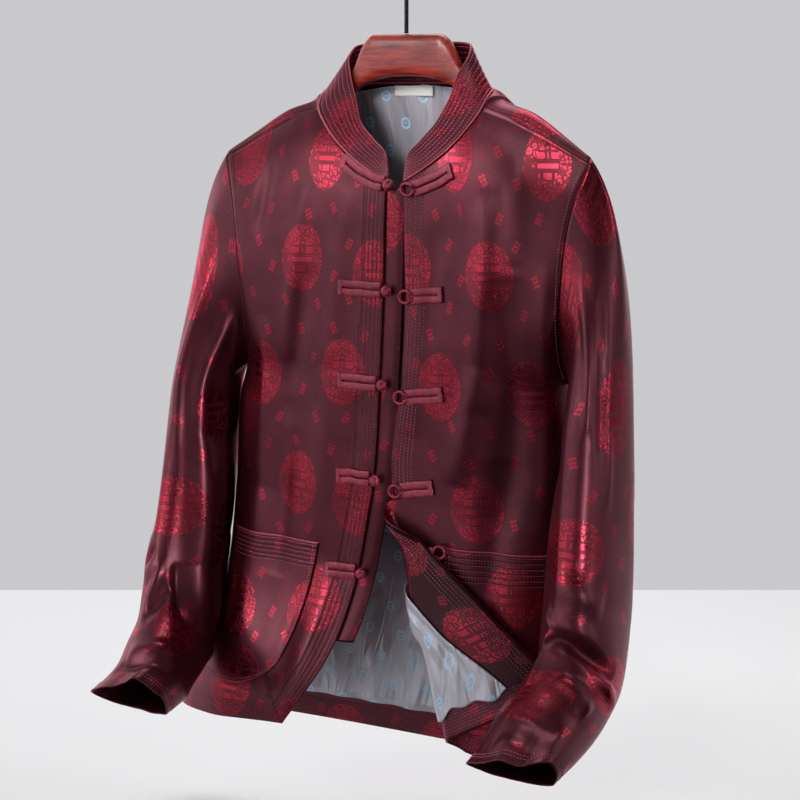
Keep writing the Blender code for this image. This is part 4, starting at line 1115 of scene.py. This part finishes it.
# %% Collar
COLLAR_ROWS = .10, .135, 7             # as shares of the collar's height
band = both_sides(collar_point, np.linspace(-1, 1, 181), np.linspace(0, 1, 30)[:, None])
run, rise = lengths(band, 1), lengths(band, 0)
share = rise / np.maximum(rise[-1:], 1e-6)
cloth("collar", band, np.stack([run, -rise], -1), JACQUARD, (.12, -.06), ((.0877, -.0253), (.392, -.022)),
      rows=counts(row_count(share, *COLLAR_ROWS)), wall=.0022)
lines = row_lines(band, share, *COLLAR_ROWS, 0)
stitches("collar_stitches", lines, THREAD, lift=.0011)
stitches("collar_stitches_inside", other_side(lines), THREAD, lift=.0011)

# %% [markdown]
# A strip is sewn under the knot side's opening, so that no gap shows when the jacket is closed.

# %% Strip under the opening
z = np.linspace(-.252, -.760, 150)[:, None]
over = np.linspace(-.030, .0214, 30)[None]        # how far past the opening edge
STRIP_OVER = -.030, -.012, .002, .012, .0214
STRIP_BEHIND = .006, .0056, .0036, .0042, .0072
strip_x = edge_x(z, -1) + over - .002 * ease(-z, .45, .62) * (over > 0)
strip_y = front_depth(z, -1) + curve(over, STRIP_OVER, STRIP_BEHIND)
strip = np.stack(np.broadcast_arrays(strip_x, strip_y, z), -1)
cloth("under_placket", strip, strip[..., ::2], JACQUARD, (.0, -.265), ((-.004, -.289), (-.024, -.47)))

# %% [markdown]
# A patch pocket is a piece of the front's own surface, a little off it. Its lower corners are round.

# %% Pockets
def pocket_bottom(a, low, width, round_=.036):
    """A straight lower edge with quarter-circle corners."""
    d = np.clip(round_ - np.minimum(a, 1 - a) * width, 0, round_ * .995)
    return low + round_ - np.sqrt(round_ ** 2 - d ** 2)

def moved_out(grid, d):
    """The grid moved d along its own normals."""
    return grid + d * normals(grid)

def pocket(side, top, low, width):
    """Points of a pocket from its top to its lower edge."""
    z = top + (pocket_bottom(a, low, width) - top) * b
    if side < 0:
        x, _ = section(.13 + .50 * a, z, -1, "front")
    else:
        x = np.maximum(.081, edge_x(z, 1) + .014)
        x = x + (.189 - x) * a
    return moved_out(np.stack([x, front_y(x, z, side), z], -1), side * .0022)

a, b = np.linspace(0, 1, 60)[None], np.linspace(0, 1, 80)[:, None]
pockets = {-1: pocket(-1, -.653, -.825, .125), 1: pocket(1, -.640 - .005 * a, -.828, .108)}
POCKET_ROWS = {-1: (.003, .0052, 6), 1: (.003, .0062, 6)}
POCKET_ROUNDELS = {-1: ((-.1979, -.7399), (-.1775, -.8194)), 1: ((.1626, -.6912), (.10, -.80))}
EDGE_ROWS = .002, .004, 2
for side, name in ((-1, "pocket_knot_side"), (1, "pocket_loop_side")):
    g = pockets[side]
    down = lengths(g, 0)
    flat = np.stack([g[..., 0] * 1.05, g[..., 2]], -1)
    cloth(name, g, flat, JACQUARD, (-.09, -.735), POCKET_ROUNDELS[side],
          rows=counts(row_count(down, *POCKET_ROWS[side])), wall=.0011)
    lines = row_lines(g, down, *POCKET_ROWS[side], 0) + row_lines(g, lengths(g, 1), *EDGE_ROWS, 1)
    if side > 0:
        lines += row_lines(g, from_last(g, 1), *EDGE_ROWS, 1)
    lines += row_lines(g, from_last(g, 0), *EDGE_ROWS, 0)
    stitches(name + "_stitches", lines if side > 0 else other_side(lines), THREAD)

# %% [markdown]
# On the turned-back corner the inside shows: a facing of the jacket's own cloth along the free edge,
# with five rows of stitches, and the lining behind it. The facing's cloth is drawn darker as painted shade,
# for the shadow it lies in. The lining there is loose and ends raggedly.

# %% Facing and front lining
def seam_a(t):
    """Where facing and lining meet, as the a of flap_point; the facing narrows from 52 mm to 36 mm."""
    xf, _, _, r, gx, _ = flap_rows(t)
    flat, wide = np.maximum(gx - xf, 1e-6), .052 - .016 * ease(t, .48, .90)
    return np.where(flat > wide, 2 - wide / flat, np.clip((flat - wide) / (np.pi * r) + 1, .25, 1))

def on_flap(t, near, far, steps, skip):
    """Rows across the turned-back part between two a values, even in length."""
    xf, _, _, roll, gx, _ = flap_rows(t)
    arc, flat = np.maximum(ease(t, 0, .22) * np.pi * roll, 1e-5), np.maximum(gx - xf, 1e-5)
    length = lambda a: np.where(a < 1, a * arc, arc + (a - 1) * flat)
    lo, hi = length(near) + skip, length(far) - skip
    way = lo + (hi - lo) * np.linspace(0, 1, steps)[None]
    return flap_point(t, np.where(way < arc, way / arc, 1 + (way - arc) / flat))

FACING_ROWS = .0045, .0045, 5
t = np.linspace(.11, .992, 110)[:, None]
face = moved_out(on_flap(t, np.maximum(seam_a(t), 1.0), 1.985 + 0 * t, 36, .0004), .0034)
from_edge, from_hem = from_last(face, 1), from_last(face, 0)
face_flat = np.stack(np.broadcast_arrays(-from_edge, -lengths(face, 0)[:, -1:]), -1)
# painted shade: the facing takes the darker copy of the jacket's cloth
cloth("facing_loop_side", face, face_flat, SHADED_FACING_JACQUARD, (-.030, -.05), ((-.0254, -.170), (-.03, -.045)),
      rows=counts(row_count(from_edge, *FACING_ROWS), row_count(from_hem, *HEM_ROWS)))
lines = row_lines(face, from_edge, *FACING_ROWS, 1) + row_lines(face, from_hem, *HEM_ROWS, 0)
stitches("facing_loop_side_stitches", [(p, np.where(q[:, 1:2] > 0, -q, q)) for p, q in lines], THREAD)

c = np.linspace(0, 1, 60)[None]
ragged = .575 + .014 * np.sin(9 * c) + .009 * np.sin(23 * c + 1)
t = .33 + ragged * np.linspace(0, 1, 90)[:, None]
inner_front = on_flap(t, .12 + 0 * t, seam_a(t), 60, .0008)
ripple = np.sin(2 * np.pi * (c * 3.1 + .4 * np.sin(7 * t)) + 5 * t) * np.sin(np.pi * c) ** .5
inner_front = moved_out(inner_front, (.0038 + .0013 * ripple * ease(t, .40, .55))[..., None])
flat = np.stack([lengths(inner_front, 1), -lengths(inner_front, 0)], -1)
cloth("lining_front", inner_front, flat, LINING, wall=.0010)

# %% [markdown]
# The back's lining hangs a few millimetres inside it, in loose waves that grow towards the hem. It starts
# at the neck in its middle, and further down at its sides. The label is a bare tab in the neck.

# %% Back lining and label
ul = np.linspace(-.80, .80, 97)
start = .006 + .16 * ease(np.abs(ul), .30, .50)[None]
vl = start + (.972 - start) * np.linspace(0, 1, 130)[:, None]
inner_back = both_sides(back_point, ul, vl)
x, z = inner_back[..., 0], inner_back[..., 2]
waves = np.sin(130 * x + 4 * np.sin(9 * z) + 1) + .7 * np.sin(75 * x - 22 * z) + .5 * np.sin(48 * z + 60 * x)
inner_back = moved_out(inner_back, (.0080 + (.0010 + .0012 * ease(-z, .70, .86)) * waves)[..., None])
run, down = lengths(inner_back, 1), lengths(inner_back, 0)
flat = np.stack([run - run[:, 48:49], -down], -1)
cloth("lining_back", inner_back, flat, LINING, wall=.0010)

x, z = np.broadcast_arrays(np.linspace(-.033, .0144, 24)[None], np.linspace(-.1445, -.1560, 8)[:, None])
label = np.stack([x, .0350 - .9 * x ** 2 + .15 * (-.1445 - z), z], -1)
cloth("neck_label", label, label[..., ::2], LABEL, wall=.0007)

# %% [markdown]
# The fastenings are folded strips of the jacket's cloth, sewn down as two bars side by side. One half
# ends in a ball knot, the other in a loop.

# %% Cord fastenings
CORD, GAP, KNOT = .0040, .0047, .0062       # half width of a bar, half the bars' spacing, radius of a knot
# x and z of the end at the opening and of the outer end, and how far the bar bows along the neck
KNOT_SIDE = ((.0085, -.2485, -.0500, -.2245, -.0045), (.0085, -.3620, -.0480, -.3610, 0),
             (.0030, -.4650, -.0500, -.4640, 0), (-.0060, -.5720, -.0530, -.5720, 0),
             (-.0240, -.6800, -.0670, -.6810, 0))
LOOP_SIDE = ((.0270, -.2540, .0820, -.2315, -.0045), (.0270, -.3680, .0770, -.3630, 0),
             (.0215, -.4780, .0780, -.4710, 0), (.0150, -.5830, .0670, -.5740, 0))

def bar_paths(length, loop):
    """Middle lines of the two bars, of the folded end across them, and of the loop."""
    p = np.linspace(.0135 if loop else .0045, length - .0006, 22)
    wave = .0003 * np.sin(p * 260)
    bars = [np.stack([p, s * GAP + wave], -1) for s in (-1, 1)]
    q = np.linspace(-1, 1, 11) * (GAP + CORD * .93)
    end = np.stack([length - .0024 + 0 * q, q], -1)
    g = np.linspace(np.radians(28), np.radians(332), 33)
    ring = np.stack([.0078 + .0072 * np.cos(g), .0066 * np.sin(g)], -1)
    return bars, end, np.concatenate([[(.0165, .0030)], ring, [(.0165, -.0030)]])

def tube_closed(ring, first, last):
    """A tube of rings, and the fans of triangles that close its ends at the points first and last."""
    n, m = ring.shape[:2]
    verts = np.concatenate([ring.reshape(-1, 3), [first], [last]])
    k, end = np.arange(m), (n - 1) * m
    following = (k + 1) % m
    fans = [(k, following, 0 * k + n * m), (end + following, end + k, 0 * k + n * m + 1)]
    return verts, grid_faces(n, m, True)[0], [np.stack(fan, -1) for fan in fans]

def strand(path, radius, flatten=1, sides=14, closed=False, out=(0., -1., 0.), square=1.):
    """A cord along a path: an oval, longer across the cloth; square below 1 fills its corners."""
    tan = (np.roll(path, -1, 0) - np.roll(path, 1, 0)) if closed else np.gradient(path, axis=0)
    tan = tan / np.linalg.norm(tan, axis=1, keepdims=True)
    out = np.asarray(out, float)
    e1 = out - (tan @ out)[:, None] * tan
    e1 /= np.linalg.norm(e1, axis=1, keepdims=True)
    e2 = np.cross(tan, e1)
    ang = np.linspace(0, 2 * np.pi, sides + 1)[:-1]
    c, s = (np.sign(k) * np.abs(k) ** square for k in (np.cos(ang), np.sin(ang)))
    oval = flatten * c[None, :, None] * e1[:, None] + s[None, :, None] * e2[:, None]
    ring = path[:, None] + radius * oval
    if not closed:
        return tube_closed(ring, path[0], path[-1])
    k, last = np.arange(sides), (len(path) - 1) * sides
    join = np.stack([last + k, last + (k + 1) % sides, (k + 1) % sides, k], -1)
    return ring.reshape(-1, 3), np.concatenate([grid_faces(len(path), sides, True)[0], join]), ()

def strands(name, parts, finish, replaced=None):
    """Joins several cords into one mesh; replaced names the CAD node that it stands for."""
    verts, faces = np.concatenate([v for v, _, _ in parts]), []
    starts = np.cumsum([0] + [len(v) for v, _, _ in parts])
    for start, (_, quads, fans) in zip(starts, parts):
        for group in (quads, *fans):
            faces += (group + start).tolist()
    me = bpy.data.meshes.new(name)
    me.from_pydata(verts.tolist(), [], faces)
    me.polygons.foreach_set("use_smooth", np.ones(len(faces), bool))
    me.materials.append(finish)
    ob = bpy.data.objects.new(name, me)
    bpy.context.scene.collection.objects.link(ob)
    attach(ob, "root")
    if replaced:
        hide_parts(replaced)
    MADE[name] = ob, None, None
    print(f"{name}: {len(faces)} faces")

def on_front(spec, p, q, side, lift):
    """A point p along and q across a fastening, lifted off the front panel under it."""
    x0, z0, x1, z1, bow = spec
    d = np.array([x1 - x0, z1 - z0])
    length = np.linalg.norm(d)
    d /= length
    n = np.array([-d[1], d[0]]) * side
    x = x0 + d[0] * p + n[0] * q
    z = z0 + d[1] * p + n[1] * q + bow * 4 * (p / length) * (1 - p / length)
    edge = edge_x(z, side)
    inside = np.maximum(x, edge + .001) if side > 0 else np.minimum(x, edge - .001)
    return np.stack([x, front_y(inside, z, side) - lift, z], -1)

def ball_knot(centre, radius):
    """A round core with four cords wound round it on tilted circles."""
    e = np.linspace(0, 2 * np.pi, 29)[:-1]
    parts = []
    for lean, turn in ((.5, .3), (1.55, 1.3), (2.4, 2.5), (1.1, 3.6)):
        axis_a = np.array([np.cos(turn), np.sin(turn), 0])
        axis_b = np.array([-np.sin(turn) * np.cos(lean), np.cos(turn) * np.cos(lean), np.sin(lean)])
        circle = np.cos(e)[:, None] * axis_a + np.sin(e)[:, None] * axis_b
        path = centre + radius * .62 * circle * (.92, 1, 1.16)
        parts.append(strand(path, radius * .40, sides=10, closed=True, out=np.cross(axis_a, axis_b)))
    k, g = np.linspace(0, np.pi, 9)[:, None], np.linspace(0, 2 * np.pi, 15)[:-1][None]
    ball = np.stack([np.sin(k) * np.cos(g), np.sin(k) * np.sin(g), np.cos(k) + 0 * g], -1)
    parts.append(((centre + radius * .55 * ball).reshape(-1, 3), grid_faces(9, 14, True)[0], ()))
    return parts

def fastening(place, length, loop):
    """The mesh parts of one half: two flat bars, the fold across their outer end and, if asked, the loop."""
    bars, end, ring = bar_paths(length, loop)
    parts = [strand(place(k, .0022), CORD, .40, 16, square=.55) for k in bars]
    parts.append(strand(place(end, .0027), .0025, .62, 16, square=.6))
    if loop:
        parts.append(strand(place(ring, .0038), .0016, 1.9, 12, square=.8))
    return parts

for side, table, node_name in ((-1, KNOT_SIDE, "frog_bar"), (1, LOOP_SIDE, "frog_loop")):
    for number, spec in enumerate(table, 1):
        length = float(np.hypot(spec[2] - spec[0], spec[3] - spec[1]))
        place = lambda k, lift: on_front(spec, k[:, 0], k[:, 1], side, .0009 + lift)
        node_of_bar = f"{node_name}_{number}"
        strands(node_of_bar + "_strip", fastening(place, length, side > 0), TRIM, node_of_bar)
        if side < 0:
            middle = place(np.array([(-.0040, 0)]), KNOT - .0004)[0]
            strands(f"frog_knot_{number}_ball", ball_knot(middle, KNOT), TRIM, f"frog_knot_{number}")

# %% [markdown]
# The fifth loop sits on the outer side of the turned-back corner and passes its free edge, so its
# directions are taken from the corner: inwards from the edge, down along it and away from the cloth.

# %% The fifth loop
AT, PAST = .285, .0125                 # t on the corner, and how far the loop passes the edge
spots = (AT, 2), (AT, 1.2), (AT + .05, 2)
edge, within, below = (flap_point(np.array([t]), np.array([a]))[0] for t, a in spots)
inward = (within - edge) / np.linalg.norm(within - edge)
below = below - edge - inward * ((below - edge) @ inward)
below /= np.linalg.norm(below)
away = np.cross(inward, below)
away *= np.sign(away[1])
place = lambda k, lift: edge + (k[:, :1] - PAST) * inward + k[:, 1:] * below + (.0020 + lift) * away
strands("frog_loop_5_strip", fastening(place, .031, True), TRIM, "frog_loop_5")

# %% [markdown]
# Thin round piping closes the collar's edges and its seam at the neck, and the pockets' tops.

# %% Piping
def piping(name, *paths):
    """A round strip 2.2 mm thick along each path."""
    parts = [strand(evenly(path, 180), .0011, sides=8, out=(.01, -.99, .1)) for path in paths]
    strands(name + "_piping_strip", parts, PIPING)

seam_out, seam_in = (moved_out(band, d)[0] for d in (.0016, -.0016))
piping("collar", band[-1], band[:, 0], band[:, -1], seam_out, seam_in)
piping("pocket_knot_side", pockets[-1][0])
piping("pocket_loop_side", pockets[1][0])

# %% [markdown]
# The hanger is a lacquered wooden yoke with rounded edges. Tables give its upper and lower outline, its
# thickness and its bend forward, and a section with full corners follows them from tip to tip.

# %% Wooden yoke
WOOD_X = (0, .020, .040, .049, .066, .085, .10, .15, .184)
WOOD_TOP = (-.0890, -.0890, -.0892, -.0945, -.1250, -.1550, -.1680, -.1930, -.2150)
WOOD_LOW = (-.1340, -.1350, -.1385, -.1415, -.1510, -.1720, -.1850, -.2100, -.2290)
WOOD_HALF = (.0115, .0115, .0110, .0095, .0072, .0070, .0075, .0080, .0065)
WOOD_MID = (.004, .004, .004, .004, .0045, .004, .002, -.003, -.0065)
X = WOOD_X[-1] * np.linspace(-1, 1, 161)[:, None]
e = np.linspace(0, 2 * np.pi, 49)[:-1][None]
top, low, half, middle = (curve(np.abs(X), WOOD_X, c) for c in (WOOD_TOP, WOOD_LOW, WOOD_HALF, WOOD_MID))
full = lambda f: np.sign(f) * np.abs(f) ** .55          # fills the corners of the round section
ring_y = middle + half * full(np.cos(e))
ring_z = (top + low) / 2 + (top - low) / 2 * full(np.sin(e))
ring = np.stack([X + 0 * e, ring_y, ring_z], -1)
strands("hanger_wood_yoke", [tube_closed(ring, ring[0].mean(0), ring[-1].mean(0))], WOOD, "hanger_wood")

# %% [markdown]
# The hook is one bent wire. Its points are given one by one along the bend, and a smooth curve joins them.

# %% Wire hook
WIRE = .0024                           # radius
HOOK = np.array([(.0165, -.0290), (.0203, -.0200), (.0185, -.0085), (.0110, -.0008), (0, .0024),
                 (-.0110, -.0008), (-.0185, -.0085), (-.0203, -.0180), (-.0175, -.0270), (-.0110, -.0345),
                 (-.0040, -.0410), (-.0005, -.0480), (0, -.0560), (0, -.0884)])          # x, z along it
run = np.concatenate([[0], np.cumsum(np.hypot(*np.diff(HOOK, axis=0).T))])
x, z = (curve(np.linspace(0, run[-1], 120), run, column) for column in HOOK.T)
strands("hanger_hook_wire", [strand(np.stack([x, 0 * x, z], -1), WIRE, sides=20)], METAL, "hanger_hook")

# %% [markdown]
# Faces point outwards on every closed piece.

# %% Face directions
for ob in bpy.context.scene.objects:
    if ob.type == "MESH" and ob.name.endswith(("_strip", "_ball", "_yoke", "_wire", "_stitches")):
        bm = bmesh.new()
        bm.from_mesh(ob.data)
        bmesh.ops.recalc_face_normals(bm, faces=bm.faces)
        bm.to_mesh(ob.data)
        bm.free()

# %% [markdown]
# Every panel is declared as a hung sheet: the size of its cut, its flat area, what holds it up and the
# stitches or piping sewn to it.

# %% Cut sizes
for name, (ob, size, area) in MADE.items():
    if size:
        node_name = name.removesuffix("_cloth")
